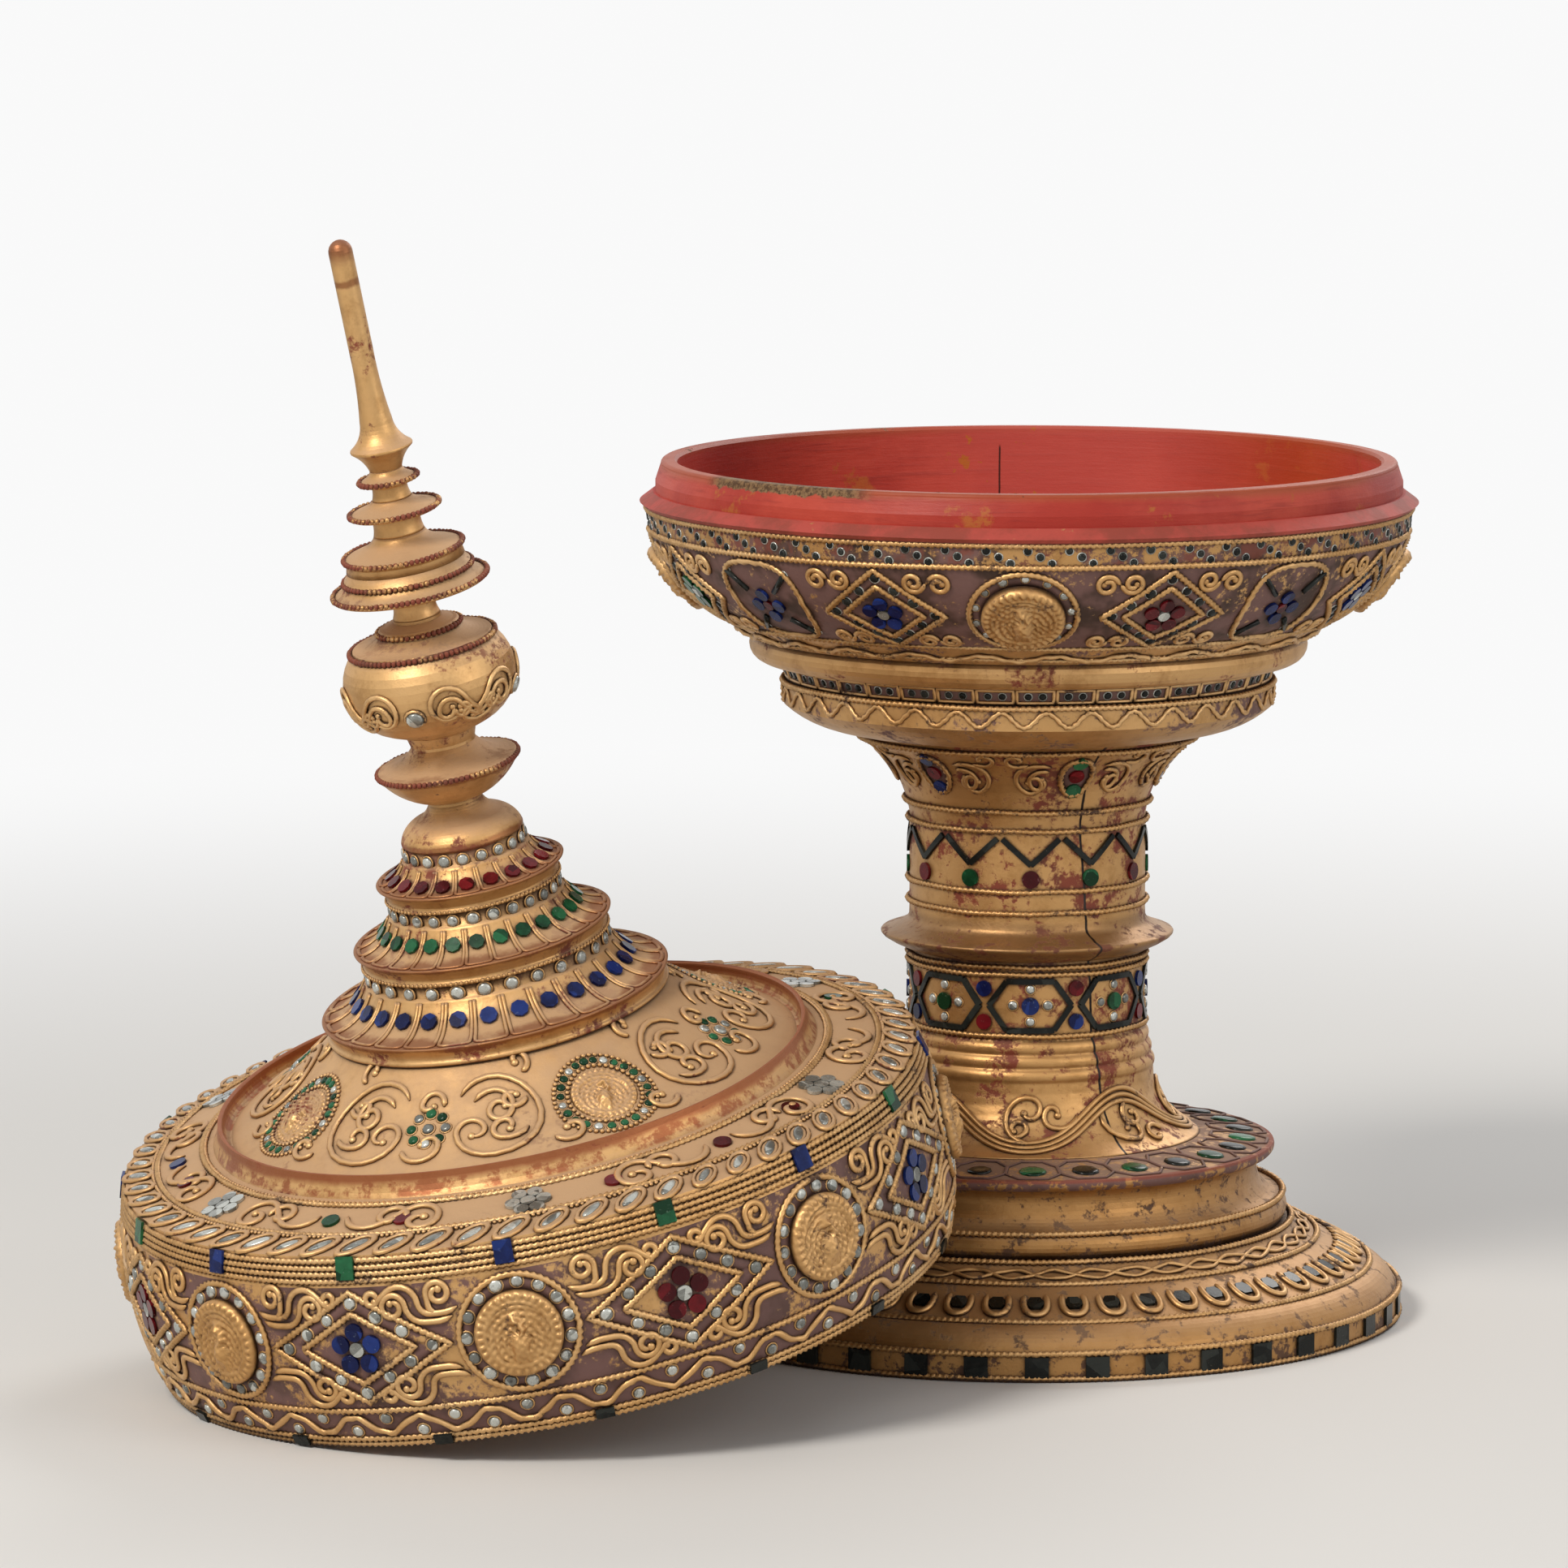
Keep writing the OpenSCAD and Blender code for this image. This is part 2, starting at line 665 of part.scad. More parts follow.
module stem_outline() {
    torus_h = stem_tori_h / 3;
    polygon(concat(
        [[0, drum_z - tenon_depth], [tenon_r, drum_z - tenon_depth], [tenon_r, stem_z]],
        bow(flare_low, flare_high, -flare_bow),
        [for (i = [0 : 2]) each bow([stem_r + tori_step * (3 - i), tori_z + torus_h * i],
            [stem_r + tori_step * (2 - i), tori_z + torus_h * (i + 1)], tori_bow, 6)],
        [[stem_r, lower_shaft_z]],
        bow([stem_r, ring_z], ring_low, -edge_bow),
        bow(ring_low, ring_high, ring_bow),
        bow(ring_high, [stem_r, upper_shaft_z], -ring_bow),
        [[stem_r, upper_shaft_z]],
        arc_points(capital),
        [[tenon_r, seat_z], [tenon_r, bowl_z + tenon_depth], [0, bowl_z + tenon_depth]]));
}

module stem() { color(gold) rotate_extrude() stem_outline(); }

module stem_cords() {
    neck_z = upper_shaft_z + shaft_neck;
    shaft_cords = [
        lower_shaft_z + cord_w, ring_z - cord_w, ring_z - 2.5 * cord_w, neck_z, neck_z + shaft_band,
        capital_z - cord_w];
    capital_cords = [for (share = capital_cord_shares) level(arc_spot(capital, share))];
    color(gold) cord_rings(concat([for (z = shaft_cords) [stem_r, z]], capital_cords)) stem_outline();
}

hexagon_low_z = lower_shaft_z + 1.5 * cord_w;
hexagon_high_z = ring_z - 3 * cord_w;
hexagon_mid = [stem_r, (hexagon_low_z + hexagon_high_z) / 2, 0];
hexagon_h = (hexagon_high_z - hexagon_low_z - strip_w - strip_gap) / 2;
hexagon_w = PI * stem_r / hexagons - strip_w / 2 - strip_gap;
zigzag_mid = [stem_r, capital_z - 2.5 * cord_w - zigzag_h / 2, 0];
zigzag_w = PI * stem_r / zigzags - strip_gap;

module bar(p, q) {
    way = q - p;
    translate(p) rotate([0, 0, atan2(way[1], way[0])]) translate([0, -strip_w / 2])
        square([norm(way), strip_w]);
}

// Strips of dark glass: hexagons below the ring and a zigzag above it
module stem_strips() {
    corners = [[hexagon_w, 0], [hexagon_flat, hexagon_h], [-hexagon_flat, hexagon_h], [-hexagon_w, 0],
        [-hexagon_flat, -hexagon_h], [hexagon_flat, -hexagon_h]];
    color(dark_glass) intersection() {
        difference() {
            translate([0, 0, lower_shaft_z]) cylinder(r = stem_r + glass_h, h = capital_z - lower_shaft_z);
            translate([0, 0, lower_shaft_z - 1]) cylinder(r = stem_r, h = capital_z - lower_shaft_z + 2);
        }
        union() {
            for (i = [0 : hexagons - 1]) on_wall(360 / hexagons * i, hexagon_mid)
                for (k = [0 : 5]) punch() bar(corners[k], corners[(k + 1) % 6]);
            for (i = [0 : zigzags - 1]) on_wall(360 / zigzags * i, zigzag_mid)
                for (side = [-1, 1]) punch() bar([0, -zigzag_h / 2], [side * zigzag_w, zigzag_h / 2]);
        }
    }
}

small_stone_r = 0.9 * stem_stone_r;
zigzag_stone = [stem_r, zigzag_mid[1] - zigzag_h / 2 - stem_stone_r - strip_w, 0];
cartouche_start = 18;
cartouche_shares = [0.37, 0.54, 0.71];
cartouche_half = small_stone_r + 2 * strip_gap;

module zigzag_stones(first) {
    for (i = [first : 2 : zigzags - 1]) on_wall(360 / zigzags * i, zigzag_stone) stone(stem_stone_r);
}

module hexagon_stones(first) {
    for (i = [first : 2 : hexagons - 1]) on_wall(360 / hexagons * i, hexagon_mid) stone(stem_stone_r);
}

// Stones where the hexagons meet, above or below the meeting point
module crossing_stones(first, side) {
    for (i = [first : 2 : hexagons - 1]) on_wall(360 / hexagons * (i + 0.5), hexagon_mid)
        translate([0, side * (hexagon_h - small_stone_r), 0]) stone(small_stone_r);
}

module cartouche_stones(first, step, places) {
    for (i = [first : step : cartouches - 1], place = places)
        on_wall(cartouche_start + 360 / cartouches * i,
            arc_spot(capital, cartouche_shares[place], stone_lift)) stone(small_stone_r);
}

module stem_glass_red() {
    color(red_glass) {
        zigzag_stones(0);
        crossing_stones(0, 1);
        crossing_stones(1, -1);
        cartouche_stones(0, 1, [1]);
    }
}

module stem_glass_green() {
    color(green_glass) {
        zigzag_stones(1);
        hexagon_stones(1);
        cartouche_stones(0, 2, [0, 2]);
    }
}

module stem_glass_blue() {
    color(blue_glass) {
        crossing_stones(1, 1);
        crossing_stones(0, -1);
        hexagon_stones(0);
        cartouche_stones(1, 2, [0, 2]);
    }
}

module oval(radius) {
    reach = 2 * small_stone_r;
    for (side = [-1, 1]) translate([0, side * reach]) circle(r = radius);
    square([2 * radius, 2 * reach], center = true);
}

// Oval cords on the capital, round three stones each
module cartouche_rings() {
    color(gold) wall_relief(capital, cord_h)
        for (i = [0 : cartouches - 1])
            on_wall(cartouche_start + 360 / cartouches * i, arc_spot(capital, cartouche_shares[1])) punch()
                difference() {
                    oval(cartouche_half + cord_w);
                    oval(cartouche_half);
                }
}

// Bowl

module bowl_seat() {
    color(gold) turned(concat([[bore_r, seat_z]],
        bow([capital_r, seat_z], [seat_r, seat_band_z], seat_bow),
        [[seat_r, seat_band_z], [seat_r, recess_z - small_edge], [seat_r - ledge, recess_z],
         [seat_r + small_edge, moulding_z], [bore_r, moulding_z]]));
}

module bowl_moulding() {
    high = [bowl_base_r - small_edge, bowl_z];
    color(gold) turned(concat([[bore_r, moulding_z]],
        bow([seat_r + 2 * seat_bow, moulding_z], high, moulding_bow), [high, [bore_r, bowl_z]]));
}

module bowl_outline() {
    inside = wall_arc([frieze_low_r - 1.5 * bowl_wall, floor_z], [hoop_inner_r, hoop_z], frieze_bulge);
    polygon(concat(
        [[0, bowl_z + tenon_depth], [bore_r, bowl_z + tenon_depth], [bore_r, bowl_z], [bowl_base_r, bowl_z]],
        arc_points(frieze),
        [[stud_top_r, flange_z], [flange_r, flange_z + flange_h * flange_share],
         [collar_r + small_edge, collar_z], [hoop_lap_r, collar_z], [hoop_lap_r, hoop_z]],
        reversed(arc_points(inside)), [[0, floor_z]]));
}

module bowl_shell() { color(gold) rotate_extrude() bowl_outline(); }

// The bent hoop that makes the collar, lapped inside the bowl's wall
module rim_hoop() {
    lap_r = hoop_lap_r - fit_clear;
    color(lacquer) turned(concat(
        [[hoop_inner_r, hoop_z], [lap_r, hoop_z], [lap_r, collar_z], [collar_r, collar_z],
         [collar_r, collar_z + collar_seat_h]],
        bow([lip_r, rim_z - ledge], [lip_r - ledge, rim_z], edge_bow, 4),
        [[lip_r - ledge, rim_z], [hoop_inner_r + small_edge, rim_z], [hoop_inner_r, rim_z - small_edge]]));
}

module bowl_cords() {
    low = cone_spot([bowl_base_r, bowl_z], [frieze_low_r, frieze_z], base_cord_share);
    color(gold) {
        cord_rings([level(low), [frieze_low_r, frieze_z], [bowl_r, stud_z], [stud_top_r, flange_z]])
            bowl_outline();
        cord_rings([[seat_r, seat_band_z + cord_w / 2], [seat_r, recess_z - 1.5 * cord_w]])
            square([seat_r, moulding_z]);
    }
}

bowl_start = -2.5;
bowl_step = 360 / bowl_motifs;
frieze_mid = arc_spot(frieze, 0.5);

module bowl_place(i) { on_wall(bowl_start + bowl_step * i, frieze_mid) children(); }

// Places children at every fourth motif of the bowl, from each of the given ones
module bowl_places(firsts) {
    for (first = firsts, i = [first : 4 : bowl_motifs - 1]) bowl_place(i) children();
}

module bowl_roundels() {
    color(gold) wall_relief(frieze, roundel_h) bowl_places([0]) punch() circle(r = roundel_r);
}

module bowl_roundel_rings() {
    color(gold) wall_relief(frieze, cord_h) bowl_places([0]) punch() cord_circle(roundel_ring_r);
}

module bowl_lozenges() {
    color(gold) wall_relief(frieze, cord_h)
        bowl_places([1, 3]) punch() lozenge_frames([bowl_lozenge_w, bowl_lozenge_h]);
}

// A four-sided panel with hollow sides, smaller by the given inset
module panel(inset) {
    half = bowl_lozenge_h - small_edge;
    hollow_r = 2 * half;
    difference() {
        square(2 * (half - inset), center = true);
        for (turn = [0 : 3]) rotate([0, 0, 90 * turn])
            translate([half + hollow_r - 2 * ledge, 0]) circle(r = hollow_r + inset);
    }
}

module bowl_panels() {
    color(gold) wall_relief(frieze, cord_h) bowl_places([2]) punch() difference() {
        panel(0);
        panel(cord_w);
    }
}

// Flowers in the bowl's lozenges take three colours in turn
module bowl_flowers(turn) {
    for (k = [turn : 3 : bowl_motifs / 2 - 1]) bowl_place(1 - 2 * k) petals(5, bowl_flower_size);
}

module bowl_glass_red() {
    color(red_glass) {
        bowl_flowers(0);
        bowl_places([2]) stone(flower_eye_r * bowl_flower_size);
    }
}

module bowl_glass_green() { color(green_glass) bowl_flowers(2); }

module bowl_glass_blue() {
    color(blue_glass) {
        bowl_flowers(1);
        bowl_places([2]) petals(4, bowl_flower_size);
    }
}

module bowl_glass_clear() {
    color(clear_glass) bowl_places([1, 3]) stone(flower_eye_r * bowl_flower_size);
}

// Cover

side_steps = 24;
fine_side = arc_points(side_arc, 0, side_steps);

module band_outline() {
    side = [for (p = fine_side) if (p[1] < band_h - small_edge) p];
    polygon(concat([[mouth_r, 0]], side, [level(side_spot(band_h)), [mouth_r, band_h]]));
}

module cover_band() { set_down() color(gold) rotate_extrude() band_outline(); }

shoulder_low = [cover_r, edge_z];
shoulder_high = [dome_lip_r, lip_z];

module shoulder_outline() {
    side = [for (p = fine_side) if (p[1] > band_h + small_edge) p];
    lip_top = [dome_lip_r - 2 * ledge, lip_z + dome_lip_h];
    lip_in = [lip_top[0] - ledge, lip_top[1] - small_edge];
    polygon(concat([[mouth_r, band_h + ledge], [mouth_r, band_h], level(side_spot(band_h))], side,
        bow(shoulder_high, lip_top, -edge_bow, 4),
        bow(lip_top, lip_in, edge_bow, 4),
        bow(lip_in, [dome_r + small_edge, dome_z], -edge_bow, 4),
        [[dome_r + small_edge, dome_z], [shoulder_hole_r, dome_z], [shoulder_hole_r, lip_z - shoulder_wall],
         [mouth_r - plate_overhang, edge_z - shoulder_wall]]));
}

module cover_shoulder() { set_down() color(gold) rotate_extrude() shoulder_outline(); }

dome_low = [dome_r, dome_z];
dome_high = [dome_top_r, tier_z[0]];

module dome_outline() {
    plug_r = shoulder_hole_r - fit_clear;
    plug_z = dome_z - shoulder_wall;
    inner_top_z = tier_z[0] - dome_wall;
    polygon(concat([[plug_r - dome_wall, plug_z], [plug_r, plug_z], [plug_r, dome_z]],
        bow(dome_low, dome_high, -dome_bow),
        [dome_high, [socket_r, tier_z[0]], [socket_r, inner_top_z], [dome_top_r - dome_wall, inner_top_z]]));
}

module cover_dome() { set_down() color(gold) rotate_extrude() dome_outline(); }

// A turned spire piece with a spigot below and a socket above
module spire_piece(outer, low_z, high_z, low_spigot, high_spigot) {
    socket_z = high_z - spigot_h - fit_clear;
    turned(concat([[0, low_z - spigot_h], [low_spigot, low_z - spigot_h], [low_spigot, low_z]], outer,
        [[high_spigot + fit_clear, high_z], [high_spigot + fit_clear, socket_z], [0, socket_z]]));
}

// Foot and head of a tier's sloping row of petals
function slope_low(i) = [tier_r[i] - tier_bow, tier_z[i] + tier_edge_h + small_edge];
function slope_high(i) = [tier_neck_r[i] + ledge, tier_z[i + 1] - tier_neck_h - edge_bow];
function slope_arc(i) = wall_arc(slope_low(i), slope_high(i), -tier_flare_bows[i]);
// The share of an arc between two shares of its way
function arc_part(arc, from, to) =
    [arc[0], arc[1], arc[2], arc[3] + (arc[4] - arc[3]) * from, arc[3] + (arc[4] - arc[3]) * to];
function tier_foot_r(i) = i == 0 ? dome_top_r : tier_neck_r[i - 1];

module tier(i) {
    low = slope_low(i);
    ridge = arc_part(slope_arc(i), ridge_from, ridge_to);
    neck_z = tier_z[i + 1] - tier_neck_h;
    step = 360 / tier_stones[i];
    color(gold) union() {
        spire_piece(concat([[tier_foot_r(i), tier_z[i]]],
            bow([low[0], tier_z[i] + small_edge], low, tier_bow),
            arc_points(slope_arc(i), 0, 8),
            [[tier_neck_r[i], neck_z], [tier_neck_r[i], tier_z[i + 1]]]),
            tier_z[i], tier_z[i + 1], spigot_r, spigot_r);
        for (k = [0 : tier_stones[i] - 1]) rotate([0, 0, step * (k + 0.5) - 90]) rotate([90, 0, 0])
            linear_extrude(tier_ridge_w, center = true)
                polygon(concat(arc_points(ridge, ridge_lift, 6), reversed(arc_points(ridge, -small_edge, 6))));
    }
}

module tier_lower() { set_down() tier(0); }
module tier_middle() { set_down() tier(1); }
module tier_upper() { set_down() tier(2); }

module spire_bell() {
    mid = [bell_neck_r + (bell_r - bell_neck_r) * bell_share, bell_z + bell_h * bell_share];
    high = [bell_neck_r, disc_z - small_edge];
    set_down() color(gold) spire_piece(concat([[upper_neck_r, bell_z], [bell_r, bell_z + small_edge]],
        bow([bell_r, bell_z + ledge], mid, bell_bow),
        bow(mid, high, -bell_bow),
        [high, [bell_neck_r, disc_z]]),
        bell_z, disc_z, spigot_r, spigot_r);
}

module spire_disc() {
    low = [disc_r - small_edge, disc_z + disc_h * disc_low_share];
    high = [disc_r - small_edge, disc_z + disc_h * disc_high_share];
    neck = [disc_neck_r, bulb_z - small_edge];
    set_down() color(gold) spire_piece(concat(
        bow([bell_neck_r, disc_z], low, disc_bow),
        bow(low, high, small_edge),
        bow(high, neck, -disc_bow),
        [neck, [disc_neck_r, bulb_z]]),
        disc_z, bulb_z, spigot_r, spigot_r);
}

bulb_low = [disc_neck_r + bulb_step, bulb_z + bulb_h * bulb_low_share];
bulb_high = [bulb_shoulder_r, bulb_top_z - small_edge];
bulb_arc = wall_arc(bulb_low, bulb_high, bulb_r - (bulb_low[0] + bulb_high[0]) / 2);
cap_low = [bulb_cap_r, bulb_top_z + bulb_cap_h * cap_low_share];
cap_high = [bulb_cap_r - ledge, bulb_top_z + bulb_cap_h * cap_high_share];

module spire_bulb() {
    set_down() color(gold) spire_piece(concat(
        [[disc_neck_r, bulb_z], [disc_neck_r + small_edge, bulb_low[1] - 2 * ledge]],
        arc_points(bulb_arc),
        bow([bulb_shoulder_r - edge_bow, bulb_top_z], cap_low, -cap_bow),
        bow(cap_low, cap_high, edge_bow),
        [[cap_high[0] - small_edge, cap_high[1]], [first_neck_r, parasol_z[0] - small_edge],
         [first_neck_r, parasol_z[0]]]),
        bulb_z, parasol_z[0], spigot_r, spigot_r);
}

function parasol_spigot(i) = i < 3 ? spigot_r : slim_spigot_r;

// A parasol: dished underside, thick rim, hollow-curved top up to the next neck
module parasol(i) {
    low_z = parasol_z[i];
    high = [parasol_neck_r[i + 1], parasol_z[i + 1]];
    rim_share = i == 1 ? second_parasol_share : parasol_share;
    rim_low = [parasol_r[i] - parasol_bow, low_z + parasol_h[i] * rim_share];
    rim_high = [rim_low[0], rim_low[1] + min(2 * ledge, parasol_h[i] / 4)];
    color(gold) spire_piece(concat(
        bow([parasol_neck_r[i], low_z], rim_low, edge_bow),
        bow(rim_low, rim_high, parasol_bow),
        bow(rim_high, high, -parasol_bow), [high]),
        low_z, high[1], parasol_spigot(i), parasol_spigot(i + 1));
}

module parasol_first() { set_down() parasol(0); }
module parasol_second() { set_down() parasol(1); }
module parasol_third() { set_down() parasol(2); }
module parasol_fourth() { set_down() parasol(3); }

module finial() {
    tip_z = finial_z + finial_h;
    flare_low = [finial_base_r - edge_bow, finial_z + finial_base_h * finial_share];
    flare_high = [flare_low[0], flare_low[1] + ledge];
    needle_low = [needle_r + ledge, finial_z + finial_base_h];
    needle_mid = [needle_r, needle_low[1] + finial_h * needle_share];
    needle_high = [needle_r, tip_z - needle_r];
    set_down() color(gold) turned(concat(
        [[0, finial_z - spigot_h], [slim_spigot_r, finial_z - spigot_h], [slim_spigot_r, finial_z]],
        bow([slim_neck_r, finial_z], flare_low, -parasol_bow),
        bow(flare_low, flare_high, edge_bow, 4),
        bow(flare_high, needle_low, -cap_bow),
        bow(needle_low, needle_mid, -edge_bow),
        [needle_mid],
        bow(needle_high, [0, tip_z], needle_r * (1 - sqrt(0.5)), 6), [[0, tip_z]]));
}

// Heights of the cover's cords, in cord widths above its rim and below its shoulder's edge
rim_cord_steps = [0.5, 1.6, 8];
edge_cord_steps = [1, 2.2, 3.4];

// Cords round the cover's rim and shoulder and at the foot of its dome
module cover_cords() {
    rim_cords = [for (k = rim_cord_steps) level(side_spot(k * cord_w))];
    edge_cords = [for (k = edge_cord_steps) level(side_spot(edge_z - k * cord_w))];
    top_cords = [for (share = top_cord_shares) level(cone_spot(shoulder_low, shoulder_high, share))];
    set_down() color(gold) {
        cord_rings(rim_cords) band_outline();
        cord_rings(concat(edge_cords, top_cords)) shoulder_outline();
    }
}

cover_start = -1.5;
rim_tab_shift = 0.4;
roundel_step = 360 / cover_roundels;
side_mid = arc_spot(side_arc, frieze_share);
cover_lozenge_w = side_mid[0] * sin(roundel_step / 2 - asin(cover_ring_r / side_mid[0])
    - 180 / PI * cover_lozenge_gap / side_mid[0]);

module cover_place(i) { on_wall(cover_start + roundel_step * i, side_mid) children(); }
module cover_places(shift) {
    for (i = [0 : cover_roundels - 1]) cover_place(i + shift) children();
}

module cover_roundel_discs() {
    set_down() color(gold) wall_relief(side_arc, roundel_h, side_steps)
        cover_places(0) punch() circle(r = roundel_r);
}

module cover_roundel_rings() {
    set_down() color(gold) wall_relief(side_arc, cord_h, side_steps)
        cover_places(0) punch() cord_circle(cover_ring_r);
}

module cover_lozenges() {
    set_down() color(gold) wall_relief(side_arc, cord_h, side_steps)
        cover_places(0.5) punch() lozenge_frames([cover_lozenge_w, cover_lozenge_h]);
}

module tier_gems(i) {
    spot = arc_spot(slope_arc(i), gem_shares[i], gem_lift);
    for (k = [0 : tier_stones[i] - 1])
        on_wall(360 / tier_stones[i] * k, spot) stone(tier_stone_r + gem_grow[i], 8);
}

// Square tabs across the shoulder's cords, every second one of a colour
module shoulder_tabs(first) {
    for (i = [first : 2 : cover_tabs - 1])
        on_wall(cover_start + 360 / cover_tabs * i,
            side_spot(edge_z - edge_cord_steps[1] * cord_w, cord_w / 2))
            tab(cover_tab_w, cover_tab_h);
}

// Flowers in the cover's lozenges, every second one of a colour
module cover_flowers(first) {
    for (i = [first : 2 : cover_roundels - 1]) cover_place(i + 0.5) petals(5);
}

shoulder_spot = cone_spot(shoulder_low, shoulder_high, shoulder_share);
rosette_start = 2.9;

// Stones lying on the shoulder at the given angles
module shoulder_stones(angles) {
    for (angle = angles) on_wall(angle, shoulder_spot) stone(petal_glass_r);
}

module cover_glass_blue() {
    set_down() color(blue_glass) {
        tier_gems(0);
        shoulder_tabs(0);
        cover_flowers(1);
        shoulder_stones([-85, 225]);
    }
}

module cover_glass_green() {
    set_down() color(green_glass) {
        tier_gems(1);
        shoulder_tabs(1);
        shoulder_stones([-31, 110, 165]);
    }
}

module cover_glass_red() {
    set_down() color(red_glass) {
        tier_gems(2);
        cover_flowers(0);
        shoulder_stones([-74, -18, 17, 37, 53, 146, 205]);
    }
}

// Silver-backed rosettes on the shoulder and the eyes of the lozenge flowers
module cover_glass_clear() {
    set_down() color(clear_glass) {
        cover_places(0.5) stone(flower_eye_r);
        for (i = [0 : rosettes - 1]) on_wall(rosette_start + 360 / rosettes * i, shoulder_spot) {
            stone(flower_eye_r);
            for (k = [0 : 5]) rotate([0, 0, 60 * k])
                translate([2 * flower_eye_r + stone_lift, 0, 0]) stone(flower_eye_r);
        }
    }
}

module cover_rim_tabs() {
    set_down() color(dark_glass) for (i = [0 : cover_tabs - 1])
        on_wall(cover_start + 360 / cover_tabs * (i + rim_tab_shift), side_spot(1.3 * cord_w, cord_w / 2))
            tab(cover_tab_w, 2 * cord_w);
}

foot_ring();
foot_ogee();
foot_drum();
foot_plate();
stem();
bowl_seat();
bowl_moulding();
bowl_shell();
rim_hoop();
foot_cords();
foot_petal_cups();
foot_lenses();
foot_glass_tabs();
plate_glass_green();
plate_glass_clear();
stem_cords();
stem_strips();
stem_glass_red();
stem_glass_green();
stem_glass_blue();
cartouche_rings();
bowl_cords();
bowl_roundels();
bowl_roundel_rings();
bowl_lozenges();
bowl_panels();
bowl_glass_blue();
bowl_glass_green();
bowl_glass_red();
bowl_glass_clear();
cover_band();
cover_shoulder();
cover_dome();
tier_lower();
tier_middle();
tier_upper();
spire_bell();
spire_disc();
spire_bulb();
parasol_first();
parasol_second();
parasol_third();
parasol_fourth();
finial();
cover_cords();
cover_roundel_discs();
cover_roundel_rings();
cover_lozenges();
cover_glass_blue();
cover_glass_green();
cover_glass_red();
cover_glass_clear();
cover_rim_tabs();
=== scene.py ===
import json
import math
import random

import bpy
from mathutils import Matrix, Vector
from mathutils.bvhtree import BVHTree


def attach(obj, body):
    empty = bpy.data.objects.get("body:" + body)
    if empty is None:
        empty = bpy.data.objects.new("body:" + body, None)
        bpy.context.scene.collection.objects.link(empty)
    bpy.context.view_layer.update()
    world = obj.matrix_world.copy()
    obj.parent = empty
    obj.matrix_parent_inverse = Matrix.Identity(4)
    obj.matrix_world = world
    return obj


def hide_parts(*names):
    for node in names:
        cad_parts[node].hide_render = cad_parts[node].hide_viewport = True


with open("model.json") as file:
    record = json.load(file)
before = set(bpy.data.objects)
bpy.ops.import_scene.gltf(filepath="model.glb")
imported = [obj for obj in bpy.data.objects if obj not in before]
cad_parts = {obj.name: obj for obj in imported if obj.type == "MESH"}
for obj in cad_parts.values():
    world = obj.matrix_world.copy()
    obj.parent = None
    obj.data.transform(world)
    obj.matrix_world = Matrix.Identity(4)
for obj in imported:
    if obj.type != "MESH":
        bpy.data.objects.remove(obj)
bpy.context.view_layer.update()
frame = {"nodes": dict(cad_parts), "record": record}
nodes = frame["nodes"]
print("frame loaded:", len(nodes), "CAD nodes")

# The pedestal stands at the origin; the cover leans beside it on its own axis.
mouth = next(m for m in frame["record"]["mounts"] if m["name"] == "cover_mouth")
mouthRise = 0.02  # how far up the cover's axis its mouth mount lies
coverAxis = -Vector(mouth["axis"])
coverFoot = Vector(mouth["pos_m"]) - coverAxis * mouthRise
leaning = Vector((0, 0, 1)).rotation_difference(coverAxis).to_matrix().to_4x4()
places = {"pedestal": Matrix.Identity(4), "cover": Matrix.Translation(coverFoot) @ leaning}
mm = 0.001


# Node trees

class Sock:
    def __init__(self, graph, socket):
        self.graph = graph
        self.socket = socket

    def __add__(self, other):
        return self.graph.math("ADD", self, other)

    def __radd__(self, other):
        return self.graph.math("ADD", other, self)

    def __sub__(self, other):
        return self.graph.math("SUBTRACT", self, other)

    def __rsub__(self, other):
        return self.graph.math("SUBTRACT", other, self)

    def __mul__(self, other):
        return self.graph.math("MULTIPLY", self, other)

    def __rmul__(self, other):
        return self.graph.math("MULTIPLY", other, self)


class Graph:
    def __init__(self, tree):
        self.tree = tree
        tree.nodes.clear()

    def node(self, kind, settings=None, sockets=None, out=0):
        made = self.tree.nodes.new(kind)
        for key, value in (settings or {}).items():
            setattr(made, key, value)
        for key, value in (sockets or {}).items():
            if isinstance(value, Sock):
                self.tree.links.new(value.socket, made.inputs[key])
            else:
                made.inputs[key].default_value = value
        return Sock(self, made.outputs[out]) if len(made.outputs) else made

    def math(self, operation, first, second=0.0):
        return self.node("ShaderNodeMath", {"operation": operation}, {0: first, 1: second})

    def vector(self, operation, first, second=(0.0, 0.0, 0.0), out=0):
        return self.node("ShaderNodeVectorMath", {"operation": operation}, {0: first, 1: second}, out)


